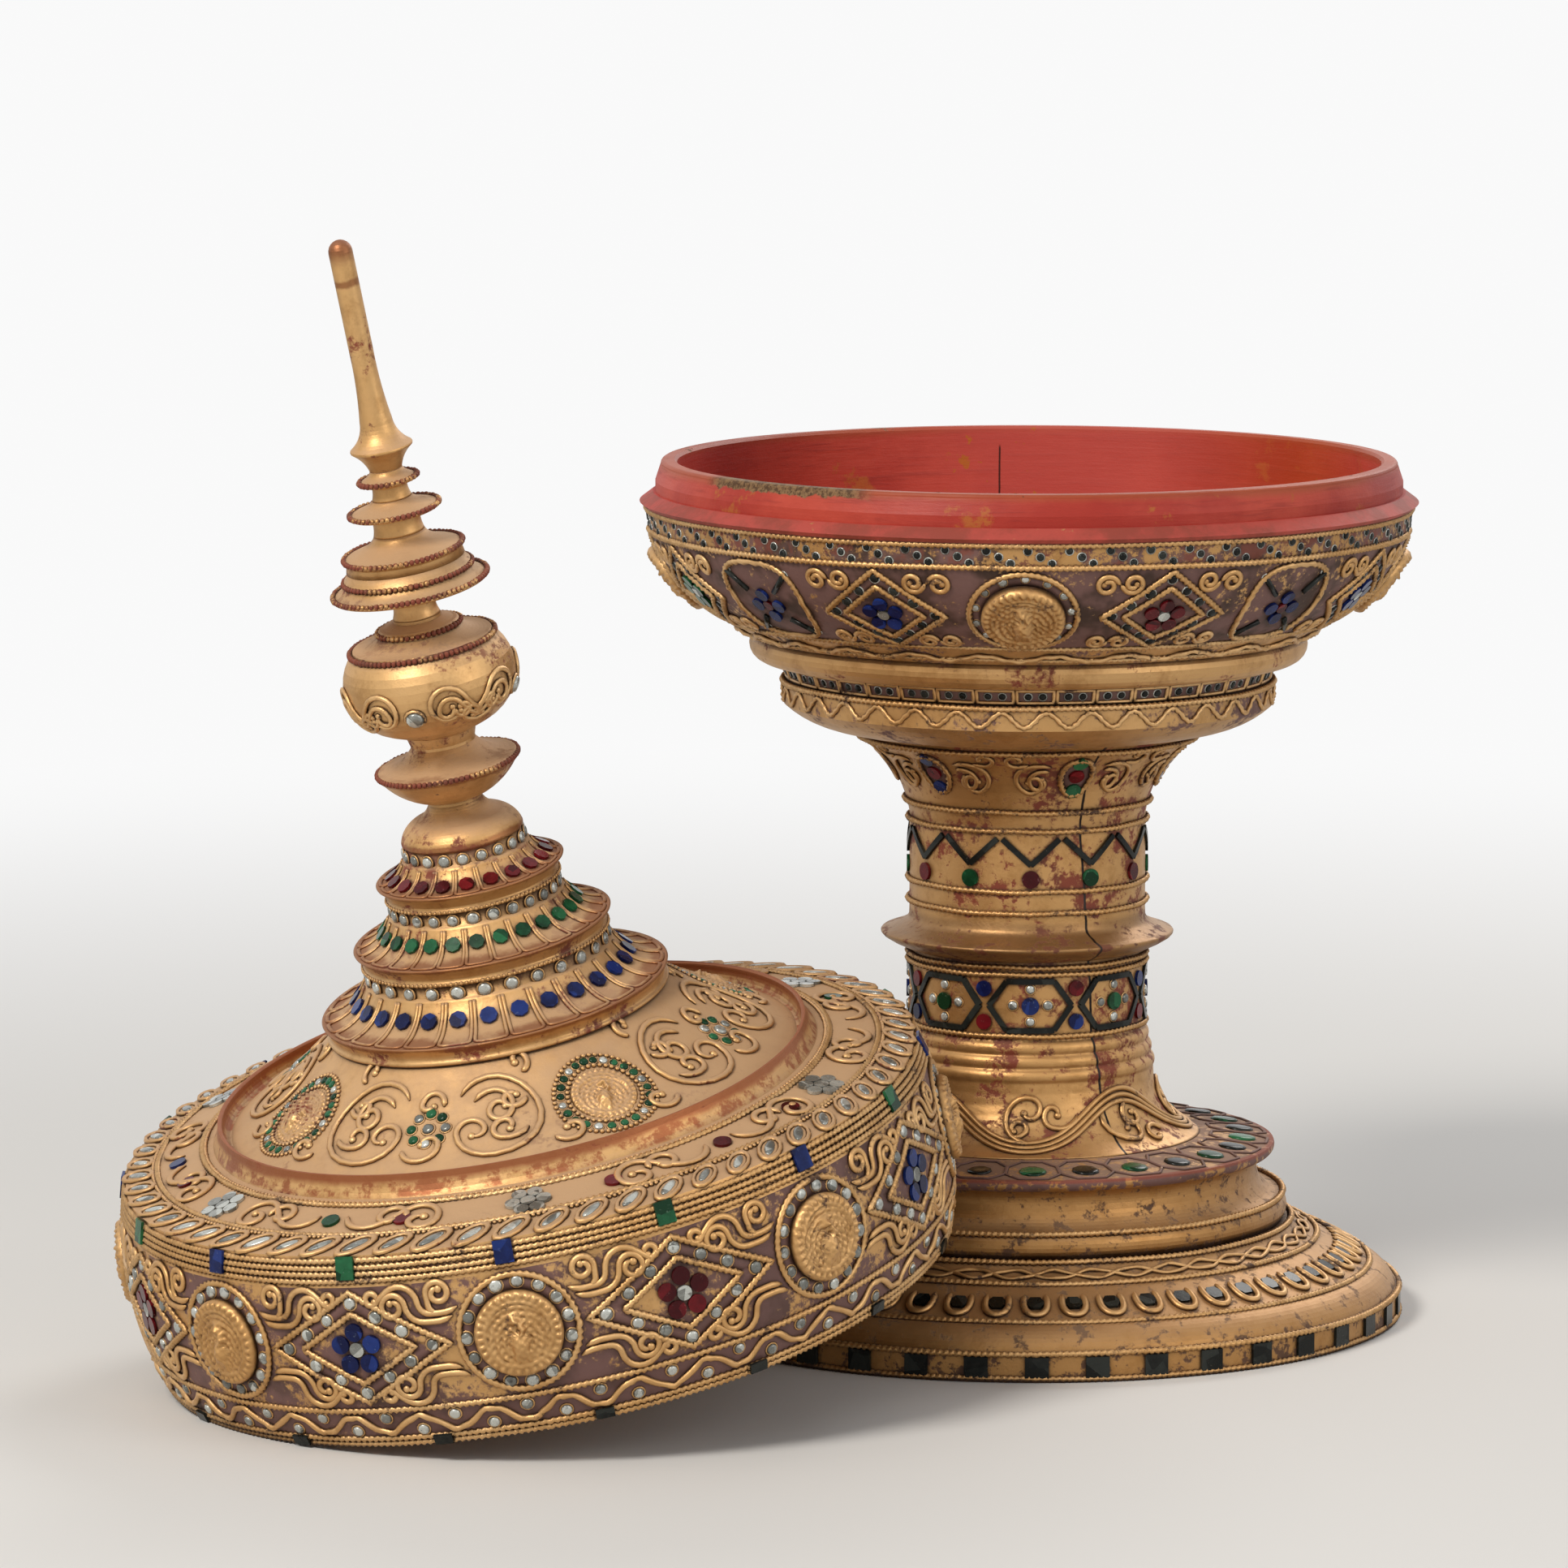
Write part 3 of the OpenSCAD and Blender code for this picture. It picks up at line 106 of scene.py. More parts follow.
class Finish(Graph):
    def __init__(self, name):
        self.material = bpy.data.materials.new(name)
        self.material.use_nodes = True
        super().__init__(self.material.node_tree)
        self.place = self.node("ShaderNodeTexCoord", out="Object")
        self.normal = self.node("ShaderNodeNewGeometry", out="Normal")

    def noise(self, scale, detail=4.0, rough=0.6, place=None):
        return self.node("ShaderNodeTexNoise", {}, {
            "Vector": place or self.place, "Scale": scale, "Detail": detail, "Roughness": rough})

    def dot(self, first, second):
        return self.vector("DOT_PRODUCT", first, second, "Value")

    def height(self):
        return self.dot(self.place, (0.0, 0.0, 1.0))

    def facingUp(self):
        return self.dot(self.normal, (0.0, 0.0, 1.0))

    def fromAxis(self):
        # From the pedestal's axis to the place, level
        return self.vector("MULTIPLY", self.place, (1.0, 1.0, 0.0))

    def ease(self, value, low, high):
        return self.node("ShaderNodeMapRange", {"interpolation_type": "SMOOTHSTEP"},
                         {"Value": value, "From Min": low, "From Max": high})

    def within(self, value, rise, fall):
        # 1 between two soft steps
        return self.ease(value, *rise) * (1.0 - self.ease(value, *fall))

    def line(self, value, core, edge):
        # 1 where the value is close to 0
        return 1.0 - self.ease(self.math("ABSOLUTE", value), core, edge)

    def mix(self, share, first, second):
        return self.node("ShaderNodeMix", {"data_type": "RGBA"}, {0: share, 6: first, 7: second}, 2)

    def crevice(self, reach):
        # 0 on open ground, towards 1 where other surfaces stand close by; it drives the painted shade in the
        # corners
        return 1.0 - self.node("ShaderNodeAmbientOcclusion", {"samples": 5}, {"Distance": reach}, "AO")

    def facets(self, scale):
        # One value for each cell of an uneven cut
        cells = self.node("ShaderNodeTexVoronoi", {}, {"Vector": self.place, "Scale": scale}, "Color")
        return self.node("ShaderNodeSeparateColor", {}, {"Color": cells})

    def stretched(self, along, across):
        return self.node("ShaderNodeMapping", {}, {"Vector": self.place, "Scale": (across, across, along)})

    def close(self, colour, roughness, metallic=0.0, height=None, depth=0.0002, strength=0.6, fixed=None):
        sockets = {"Base Color": colour, "Roughness": roughness, "Metallic": metallic}
        sockets.update(fixed or {})
        if height is not None:
            sockets["Normal"] = self.node("ShaderNodeBump", {}, {
                "Strength": strength, "Distance": depth, "Height": height})
        shader = self.node("ShaderNodeBsdfPrincipled", {}, sockets)
        self.node("ShaderNodeOutputMaterial", {}, {"Surface": shader})
        return self.material


def rgb(red, green, blue):
    return (red, green, blue, 1.0)


# Gilding; heights in the finishes are metres

goldTones = {
    "deep": rgb(0.35, 0.172, 0.050),
    "leaf": rgb(0.62, 0.355, 0.135),
    "pale": rgb(0.76, 0.490, 0.230),
    "lacquer": rgb(0.21, 0.040, 0.016),
    "brown": rgb(0.045, 0.019, 0.010),
    "ground": rgb(0.165, 0.082, 0.070),
    "dust": rgb(0.58, 0.37, 0.21),
    "umber": rgb(0.11, 0.048, 0.020),
    "rubbed": rgb(0.22, 0.062, 0.020),
    "tip": rgb(0.20, 0.045, 0.018),
    "lip": rgb(0.29, 0.075, 0.028),
    "plateEdge": rgb(0.24, 0.050, 0.024),
    "crack": rgb(0.010, 0.005, 0.003),
}


def wornThrough(mat, wearAndShade, kept):
    return mat.ease(wearAndShade - (kept * 0.30 + 0.36), -0.03, 0.035)


def goldLeaf(mat, rubbed, blotches, darkening):
    leaf = mat.mix(mat.ease(mat.noise(13.0), 0.34, 0.70) * rubbed, goldTones["leaf"], goldTones["pale"])
    darker = mat.ease(mat.noise(95.0, 5.0, 0.7), 0.44, 0.72) * blotches + darkening
    return mat.mix(darker, leaf, goldTones["deep"])


def shadedCorners(mat, colour, closed):
    # Painted shade: brown darkening in the corners, where other surfaces stand close
    return mat.mix(mat.ease(closed, 0.14, 0.66) * 0.9, colour, goldTones["brown"])


def gilded(name, kept, dust=0.0, under="lacquer", patch=34.0, fleck=360.0, darkening=0.0, rubbed=0.5,
           zone=None, paint=None):
    # kept: share of the leaf that is left; darkening: how far the leaf is darkened towards the deep tone
    # zone lowers kept by place, and paint recolours by place
    mat = Finish(name)
    patches = mat.noise(patch, 7.0, 0.66)
    flecks = mat.noise(fleck, 3.0, 0.7)
    rings = mat.noise(30.0, 3.0, 0.6, mat.stretched(6.0, 1.0))
    closed = mat.crevice(0.0045)
    # The closed share adds painted shade: more of the darker worn-through ground shows in the corners, on top
    # of the real wear
    wearAndShade = patches * 0.58 + flecks * 0.28 + rings * 0.14 + closed * 0.08
    worn = wornThrough(mat, wearAndShade, kept if zone is None else zone(mat) * kept)
    leaf = goldLeaf(mat, rubbed, 0.55 - darkening * 0.4, darkening)
    bare = mat.mix(mat.ease(mat.noise(60.0, 3.0), 0.46, 0.70) * 0.6, goldTones[under], goldTones["brown"])
    colour = mat.mix(worn, leaf, bare)
    roughness = 0.34 + flecks * 0.16 + worn * 0.22
    metallic = 0.72 - worn * 0.66
    if dust:
        lying = mat.ease(mat.facingUp() + mat.noise(150.0, 4.0) * 0.5, 0.55, 1.15) * dust
        colour = mat.mix(lying, colour, goldTones["dust"])
        roughness = roughness + lying * 0.35
        metallic = metallic * (1.0 - lying * 0.85)
    # Painted shade: the corners are darkened brown
    colour = shadedCorners(mat, colour, closed)
    if paint:
        colour = paint(mat, colour, patches)
    height = patches * 0.5 + flecks * 0.30 + mat.noise(900.0, 2.0) * 0.2 - worn * 0.35
    return mat.close(colour, roughness, metallic, height, 0.0006, 0.45)


def frontTo(mat, angle, low, high):
    # A soft window on the pedestal round the given angle from the front
    turn = math.radians(angle)
    out = mat.vector("NORMALIZE", mat.fromAxis())
    return mat.ease(mat.dot(out, (math.sin(turn), -math.cos(turn), 0.0)), low, high)


coverBands = {
    "wave": ((0.0035, 0.0045), (0.0135, 0.0145)),
    "specks": (0.0768, 0.0778),
    "lip": (0.0800, 0.0826),
    "edges": (0.1132, 0.1364, 0.1585, 0.1722, 0.1968, 0.3715),
    "edge": (0.0006, 0.0019),
    "tip": (0.3765, 0.3835),
}


def coverHeight(mat):
    return mat.dot(mat.place, tuple(coverAxis)) - coverFoot.dot(coverAxis)


def coverSideZone(mat):
    # Less leaf is left behind the wavy cord
    return 1.0 - mat.within(coverHeight(mat), *coverBands["wave"]) * 0.8


def lipRed(mat, colour, patches):
    # The shoulder's raised lip is rubbed through to the red
    height = coverHeight(mat)
    lip = mat.ease(height + (patches - 0.5) * 0.006, *coverBands["lip"])
    specks = mat.ease(height, *coverBands["specks"]) * mat.ease(mat.noise(120.0, 5.0, 0.7), 0.44, 0.58)
    return mat.mix(mat.math("MAXIMUM", lip, specks) * 0.85, colour, goldTones["lip"])


def rubbedEdges(mat, colour, patches):
    # Red-brown where the needle and the edges of the tiers and discs are handled
    height = coverHeight(mat)
    tip = mat.ease(height + (patches - 0.5) * 0.012, *coverBands["tip"])
    colour = mat.mix(tip * 0.8, colour, goldTones["tip"])
    for level in coverBands["edges"]:
        near = mat.line(height - level + (patches - 0.5) * 0.006, *coverBands["edge"])
        colour = mat.mix(near * 0.72, colour, goldTones["rubbed"])
    return colour


pedestalBands = {
    "plateEdge": (0.0888, 0.0906),
    "plateTop": (0.0626, 0.0636),
    "stemRing": ((0.1355, 0.1390), (0.1490, 0.1520)),
    "recess": ((0.2355, 0.2362), (0.2426, 0.2432)),
    "frieze": ((0.2575, 0.2600), (0.2900, 0.2925)),
    "studs": (0.2905, 0.2925),
    "flange": (0.2990, 0.3005),
    "seamTop": (0.3080, 0.3100),
    "lip": (0.3125, 0.3162),
    "brokenLip": (0.3132, 0.3138),
}


def recessZone(mat):
    return 1.0 - mat.within(mat.height(), *pedestalBands["recess"]) * 0.85


stemCrackLine = {"across": (0.883, 0.469, 0.07), "aside": 0.0105, "angle": 28.0}


def stemMarks(mat, colour, patches):
    # The ring's darker leaf, and one crack down the stem where the wood has shrunk
    across = mat.dot(mat.place, stemCrackLine["across"]) - stemCrackLine["aside"]
    across = across + (mat.noise(46.0, 4.0) - 0.5) * 0.003
    crack = mat.line(across, 0.0003, 0.0007) * frontTo(mat, stemCrackLine["angle"], 0.5, 0.6)
    ring = mat.within(mat.height(), *pedestalBands["stemRing"])
    colour = mat.mix(ring * 0.5, colour, goldTones["umber"])
    return mat.mix(crack, colour, goldTones["crack"])


def plateEdge(mat, colour, patches):
    # The plate's rim is rubbed to the red
    away = mat.vector("LENGTH", mat.fromAxis(), out="Value")
    edge = mat.ease(away + (patches - 0.5) * 0.004, *pedestalBands["plateEdge"])
    edge = edge * mat.ease(mat.height(), *pedestalBands["plateTop"])
    return mat.mix(edge * 0.8, colour, goldTones["plateEdge"])


bowlTones = {
    "flange": rgb(0.46, 0.066, 0.046),
    "flangeDark": rgb(0.30, 0.050, 0.030),
    "plaster": rgb(0.52, 0.47, 0.38),
    "inside": rgb(0.38, 0.024, 0.016),
    "insideLight": rgb(0.50, 0.060, 0.040),
}


def bowlShellFinish(name):
    # Worn leaf on the frieze, red on the flange and inside, a patch of plaster on the flange, and painted
    # shade in the corners
    mat = Finish(name)
    height = mat.height()
    facing = mat.dot(mat.vector("NORMALIZE", mat.fromAxis()), mat.normal)
    inside = mat.ease(mat.math("MAXIMUM", 0.0 - facing, mat.facingUp() - 0.85), 0.02, 0.06)
    patches = mat.noise(40.0, 7.0, 0.68)
    flecks = mat.noise(380.0, 3.0, 0.7)
    closed = mat.crevice(0.0035)
    # The closed share adds painted shade: more of the darker worn-through ground shows in the corners, on top
    # of the real wear
    wearAndShade = patches * 0.65 + flecks * 0.35 + closed * 0.06
    band = mat.within(height, *pedestalBands["frieze"])
    studs = mat.ease(height, *pedestalBands["studs"])
    flange = mat.ease(height, *pedestalBands["flange"])
    worn = wornThrough(mat, wearAndShade, 0.66 - band * 0.50 - studs * 0.20 - flange * 0.50)
    leaf = goldLeaf(mat, 0.4, 0.6, studs * 0.35)
    bare = mat.mix(mat.ease(mat.noise(60.0, 3.0), 0.42, 0.66), goldTones["ground"], goldTones["brown"])
    bare = mat.mix(mat.ease(mat.noise(80.0, 4.0), 0.52, 0.62) * studs * 0.6, bare, goldTones["lacquer"])
    flangeRed = mat.mix(mat.ease(patches, 0.40, 0.60), bowlTones["flange"], bowlTones["flangeDark"])
    colour = mat.mix(worn, leaf, mat.mix(flange, bare, flangeRed))
    # Painted shade: the corners are darkened brown
    colour = shadedCorners(mat, colour, closed)
    plaster = mat.ease(mat.noise(36.0), 0.66, 0.69) * flange * frontTo(mat, 62.0, 0.90, 0.93)
    colour = mat.mix(plaster, colour, bowlTones["plaster"])
    red = mat.mix(mat.ease(mat.noise(17.0, 5.0), 0.36, 0.66), bowlTones["inside"], bowlTones["insideLight"])
    colour = mat.mix(inside, colour, red)
    return mat.close(colour, 0.36 + flecks * 0.16 + worn * 0.2, (0.72 - worn * 0.66) * (1.0 - inside),
                     patches * 0.5 + flecks * 0.4 - worn * 0.4, 0.0006, 0.45)


# Lacquer and glass

lacquerTones = {
    "red": rgb(0.37, 0.030, 0.018),
    "light": rgb(0.53, 0.072, 0.042),
    "brushed": rgb(0.22, 0.020, 0.014),
    "orange": rgb(0.43, 0.13, 0.022),
    "lip": rgb(0.33, 0.085, 0.024),
    "wood": rgb(0.085, 0.042, 0.018),
    "woodLight": rgb(0.25, 0.145, 0.065),
    "right": rgb(0.50, 0.085, 0.014),
    "left": rgb(0.17, 0.012, 0.008),
    "middle": rgb(0.62, 0.12, 0.095),
    "flaked": rgb(0.47, 0.15, 0.020),
    "seam": rgb(0.05, 0.010, 0.006),
}


def redLacquer(name):
    # Brushed red with a rubbed lip and chips down to the wood; on the inner lining at the back, painted light
    # on the right, painted shade on the left and a painted sheen in the middle
    mat = Finish(name)
    height = mat.height()
    across = mat.dot(mat.place, (1.0, 0.0, 0.0))
    behind = frontTo(mat, 180.0, 0.2, 0.6)
    broad = mat.noise(17.0, 5.0)
    brushed = mat.noise(30.0, 4.0, 0.65, mat.stretched(14.0, 1.0))
    grains = mat.noise(520.0, 3.0, 0.7)
    lip = mat.ease(height + (broad - 0.5) * 0.006, *pedestalBands["lip"])
    broken = mat.ease(height + (mat.noise(75.0, 5.0, 0.7) - 0.5) * 0.007, *pedestalBands["brokenLip"])
    broken = broken * frontTo(mat, -43.0, 0.950, 0.975)
    chips = mat.math("MAXIMUM", broken, mat.ease(mat.noise(70.0, 6.0, 0.72) + lip * 0.12, 0.74, 0.77))
    flaked = mat.ease(mat.noise(120.0, 4.0, 0.7), 0.56, 0.60) * frontTo(mat, 184.0, 0.985, 0.995)
    seam = mat.line(across + 0.0075 + (broad - 0.5) * 0.002, 0.0002, 0.0005)
    seam = seam * (1.0 - mat.ease(height, *pedestalBands["seamTop"]))
    wood = mat.mix(mat.ease(grains, 0.4, 0.6), lacquerTones["wood"], lacquerTones["woodLight"])
    colour = mat.mix(mat.ease(broad, 0.36, 0.66), lacquerTones["red"], lacquerTones["light"])
    layers = [
        (mat.ease(brushed, 0.52, 0.72) * 0.5, lacquerTones["brushed"]),
        (mat.ease(mat.noise(42.0, 6.0, 0.7), 0.60, 0.67) * 0.8, lacquerTones["orange"]),
        (lip * 0.6, lacquerTones["lip"]),
        (chips, wood),
        # Painted light on the right at the back, painted shade on the left, and a painted sheen in the middle
        (mat.ease(across, 0.03, 0.13) * behind * 0.6, lacquerTones["right"]),
        ((1.0 - mat.ease(across, -0.13, -0.05)) * behind * 0.6, lacquerTones["left"]),
        (mat.line(across - 0.02, 0.02, 0.09) * behind * 0.6, lacquerTones["middle"]),
        (flaked * 0.9, lacquerTones["flaked"]),
        (seam * behind, lacquerTones["seam"]),
    ]
    for share, tone in layers:
        colour = mat.mix(share, colour, tone)
    return mat.close(colour, 0.36 + brushed * 0.22 + chips * 0.2, 0.0,
                     brushed * 0.5 + grains * 0.2 - chips * 0.8, 0.0008, 0.5, {"Specular IOR Level": 0.3})


def cutGlass(name, deep, light, worn):
    mat = Finish(name)
    cloud = mat.noise(210.0, 4.0, 0.65)
    colour = mat.mix(mat.ease(mat.facets(130.0) * 0.6 + cloud * 0.6, 0.35, 0.95), deep, light)
    scratched = mat.ease(mat.noise(640.0, 4.0, 0.75), 0.62, 0.70)
    colour = mat.mix(scratched * 0.35, colour, worn)
    return mat.close(colour, 0.16 + cloud * 0.14 + scratched * 0.3, 0.0, cloud, 0.0002, 0.3,
                     {"Coat Weight": 0.06, "Coat Roughness": 0.10, "Specular IOR Level": 0.16})


silverTones = {
    "dark": rgb(0.17, 0.175, 0.16),
    "bright": rgb(0.58, 0.60, 0.56),
    "dull": rgb(0.045, 0.040, 0.034),
}


def silvered(name):
    mat = Finish(name)
    cloud = mat.noise(330.0, 5.0, 0.7)
    bright = mat.ease(mat.facets(160.0) * 0.7 + cloud * 0.5, 0.25, 0.95)
    dull = mat.ease(mat.noise(500.0, 4.0, 0.75), 0.56, 0.66)
    colour = mat.mix(bright, silverTones["dark"], silverTones["bright"])
    colour = mat.mix(dull * 0.7, colour, silverTones["dull"])
    return mat.close(colour, 0.18 + cloud * 0.16 + dull * 0.2, 0.45, cloud, 0.0002, 0.3,
                     {"Coat Weight": 0.15, "Coat Roughness": 0.08, "Specular IOR Level": 0.3})


finishes = {
    "gilded_wood": gilded("gildedWood", 0.76, 0.10, darkening=0.20),
    "seat": gilded("seatGilding", 0.62, 0.10, "ground", darkening=0.26, zone=recessZone),
    "stem": gilded("stemGilding", 0.62, 0.10, "lacquer", 70.0, darkening=0.32, paint=stemMarks),
    # The foot is darkened most: partly aged leaf, partly painted shade
    "foot": gilded("footGilding", 0.68, 0.25, "umber", 150.0, darkening=0.80, rubbed=0.2),
    "plate": gilded("plateGilding", 0.34, 0.30, "ground", 90.0, darkening=0.60, rubbed=0.2, paint=plateEdge),
    "worn_gilding": gilded("footRingGilding", 0.60, 0.10, "umber", 90.0, darkening=0.70, rubbed=0.2),
    "coverSide": gilded("coverSideGilding", 0.40, 0.25, "ground", 44.0, darkening=0.10, zone=coverSideZone),
    "coverTop": gilded("dustyGilding", 0.78, 0.80, "lacquer", 26.0),
    "shoulder": gilded("shoulderGilding", 0.78, 0.85, "lacquer", 26.0, paint=lipRed),
    "spire": gilded("spireGilding", 0.68, 0.78, "lacquer", 40.0, darkening=0.12, rubbed=0.7, paint=rubbedEdges),
    "gilt_relief": gilded("reliefGilding", 0.80, 0.15, "umber", 60.0, 520.0, rubbed=1.0),
    "oldRelief": gilded("oldRelief", 0.72, 0.10, "umber", 60.0, 520.0, darkening=0.26, rubbed=0.6),
    "wornRopes": gilded("wornRopes", 0.34, 0.10, "lacquer", 90.0, 600.0, darkening=0.25),
    "roundels": gilded("roundelGilding", 0.80, 0.12, "umber", 70.0, 480.0, darkening=0.22, rubbed=0.7),
    "ground": gilded("friezeGround", 0.14, 0.10, "ground", 60.0),
    "red_lacquer": redLacquer("redLacquer"),
    "bowl": bowlShellFinish("bowlGilding"),
    "clear_glass": silvered("silveredGlass"),
}
glassTones = {
    "blue": (rgb(0.003, 0.006, 0.046), rgb(0.014, 0.036, 0.190), rgb(0.20, 0.26, 0.36)),
    "green": (rgb(0.003, 0.032, 0.011), rgb(0.022, 0.150, 0.060), rgb(0.22, 0.34, 0.26)),
    "red": (rgb(0.045, 0.002, 0.004), rgb(0.190, 0.010, 0.015), rgb(0.40, 0.20, 0.19)),
    "dark": (rgb(0.006, 0.007, 0.006), rgb(0.030, 0.034, 0.030), rgb(0.10, 0.09, 0.07)),
}
for tint, tones in glassTones.items():
    finishes[tint + "_glass"] = cutGlass(tint + "Glass", *tones)
print("materials ready:", len(finishes))


# Walls that ornament is drawn on, read from the CAD pieces; from here on sizes are millimetres

probe = {"angles": (3.0, 47.0, 131.0, 199.0, 283.0), "aside": 300, "above": 500}


def solidTree(names, body):
    back = places[body].inverted()
    points, faces = [], []
    for name in names:
        mesh = nodes[name].data
        first = len(points)
        points += [(back @ v.co) / mm for v in mesh.vertices]
        faces += [[first + i for i in p.vertices] for p in mesh.polygons]
    return BVHTree.FromPolygons(points, faces)


def outward(angle):
    turn = math.radians(angle)
    return Vector((math.sin(turn), -math.cos(turn), 0.0))


def compass(normal):
    # East and north on a wall, seen from outside it
    east = Vector((0, 0, 1)).cross(normal).normalized()
    return east, normal.cross(east)


class Wall:
    # A turned outline from low to high; s runs along it, angle from the front towards +X
    def __init__(self, body, outline):
        self.body = body
        self.outline = outline
        self.reach = [0.0]
        for p, q in zip(outline, outline[1:]):
            self.reach.append(self.reach[-1] + math.dist(p, q))
        self.length = self.reach[-1]

    def spot(self, s):
        i = 0
        while i < len(self.outline) - 2 and s > self.reach[i + 1]:
            i += 1
        (r0, z0), (r1, z1) = self.outline[i], self.outline[i + 1]
        span = self.reach[i + 1] - self.reach[i]
        t = (s - self.reach[i]) / span
        return r0 + (r1 - r0) * t, z0 + (z1 - z0) * t, (z1 - z0) / span, (r0 - r1) / span

    def reachOf(self, z):
        for i, ((_, z0), (_, z1)) in enumerate(zip(self.outline, self.outline[1:])):
            if z <= z1:
                break
        return self.reach[i] + (z - z0) / (z1 - z0) * (self.reach[i + 1] - self.reach[i])

    def at(self, angle, s, lift=0.0):
        r, z, across, rise = self.spot(s)
        out = outward(angle)
        normal = out * across + Vector((0, 0, rise))
        return out * r + Vector((0, 0, z)) + normal * lift, normal

    def draw(self, angle, s, points, lift=0.0):
        r = self.spot(s)[0]
        return [self.at(angle + math.degrees(x / r), s + y, lift) for x, y in points]

    def around(self, s, lift=0.0, step=1.2, sway=0.0, seed=1):
        rng = random.Random(seed)
        phases = [rng.uniform(0, 6.28) for _ in range(2)]
        count = max(24, int(2 * math.pi * self.spot(s)[0] / step))
        path = []
        for i in range(count):
            turn = 2 * math.pi * i / count
            drift = sway * (math.sin(5 * turn + phases[0]) + 0.7 * math.sin(11 * turn + phases[1]))
            path.append(self.at(360 * i / count, s + drift, lift))
        return path


def hoopWall(body, radius, middle):
    # A short straight wall round one height, which lies at s = 1
    return Wall(body, [(radius, middle - 1), (radius, middle + 1)])


def sideWall(body, names, low, high, count):
    tree = solidTree(names, body)
    outline = []
    for i in range(count + 1):
        z = low + (high - low) * i / count
        best = 0.0
        for angle in probe["angles"]:
            out = outward(angle)
            hit = tree.ray_cast(out * probe["aside"] + Vector((0, 0, z)), -out)[0]
            if hit is not None:
                best = max(best, math.hypot(hit.x, hit.y))
        outline.append((best, z))
    return Wall(body, outline)


def topWall(body, names, outer, inner, count):
    tree = solidTree(names, body)
    outline = []
    for i in range(count + 1):
        r = outer + (inner - outer) * i / count
        hits = []
        for angle in probe["angles"]:
            start = outward(angle) * r + Vector((0, 0, probe["above"]))
            hit = tree.ray_cast(start, Vector((0, 0, -1)))[0]
            if hit is not None:
                hits.append(hit.z)
        outline.append((r, sorted(hits)[len(hits) // 2]))
    return Wall(body, outline)


# Relief: rolled cords, strips and turned bodies of one finish, gathered into one mesh

ropeTwist = {"pitch": 2.3, "depth": 0.32, "sway": 0.12, "steps": 3.4}
cordSides = 6


def skin(first, rings, sides, closed=False):
    # Faces between rings of points, with flat ends unless the last ring joins the first
    faces = []
    for i in range(rings if closed else rings - 1):
        a, b = first + i * sides, first + (i + 1) % rings * sides
        for k in range(sides):
            j = (k + 1) % sides
            faces.append((a + k, a + j, b + j, b + k))
    if not closed:
        last = first + (rings - 1) * sides
        faces.append(tuple(first + k for k in reversed(range(sides))))
        faces.append(tuple(last + k for k in range(sides)))
    return faces


def settle(piece, body, replaced):
    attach(piece, body)
    if replaced:
        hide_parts(*replaced)


class Relief:
    def __init__(self, name, body, finish, slot="gilt_relief"):
        self.name, self.body, self.finish, self.slot = name, body, finish, slot
        self.points, self.faces = [], []

    def tube(self, path, radius, taper=0.0, squat=0.85, twist=0.0, closed=False):
        first, count, run = len(self.points), len(path), 0.0
        total = sum((q[0] - p[0]).length for p, q in zip(path, path[1:])) or 1.0
        for i, (point, normal) in enumerate(path):
            before = path[i - 1] if closed or i else path[0]
            after = path[(i + 1) % count] if closed or i < count - 1 else path[-1]
            along = (after[0] - before[0]).normalized()
            if i:
                run += (point - path[i - 1][0]).length
            side = along.cross(normal).normalized()
            up = side.cross(along)
            size = radius
            if taper and not closed:
                end = min(run, total - run) / total
                size *= 0.25 + 0.75 * min(1.0, end / taper) ** 0.6
            for k in range(cordSides):
                a = 2 * math.pi * k / cordSides
                r = size * (1 + twist * math.sin(2 * math.pi * run / ropeTwist["pitch"] + a))
                self.points.append(point + up * (math.cos(a) * r * squat) + side * (math.sin(a) * r))
        self.faces += skin(first, count, cordSides, closed)

    def rope(self, path, radius):
        # A closed twisted cord
        self.tube(path, radius, squat=1.0, twist=ropeTwist["depth"], closed=True)

    def ring(self, radius, height, size, seed):
        step = ropeTwist["pitch"] / ropeTwist["steps"]
        self.rope(hoopWall(self.body, radius, height).around(1.0, 0.0, step, ropeTwist["sway"], seed), size)

    def slab(self, outer, inner, depth=0.8):
        # A thin closed strip between two outlines on a wall
        first = len(self.points)
        rows = ((outer, 0), (inner, 0), (inner, depth), (outer, depth))
        for row, sink in rows:
            self.points += [p - n * sink for p, n in row]
        self.faces += skin(first, len(rows), len(outer), True)

    def turned(self, outline, sides=96):
        # A solid of revolution from (radius, height) pairs, low to high
        first = len(self.points)
        for r, z in outline:
            self.points += [outward(360 * k / sides) * r + Vector((0, 0, z)) for k in range(sides)]
        self.faces += skin(first, len(outline), sides)

    def build(self, *replaced):
        place = places[self.body]
        mesh = bpy.data.meshes.new(self.name)
        mesh.from_pydata([place @ (p * mm) for p in self.points], [], self.faces)
        mesh.polygons.foreach_set("use_smooth", [True] * len(mesh.polygons))
        mesh.materials.append(finishes[self.finish])
        mesh.validate()
        piece = bpy.data.objects.new(self.name, mesh)
        bpy.context.collection.objects.link(piece)
        settle(piece, self.body, replaced)


# Geometry Nodes: the same small shape set at many spots of a wall, and beads along a line

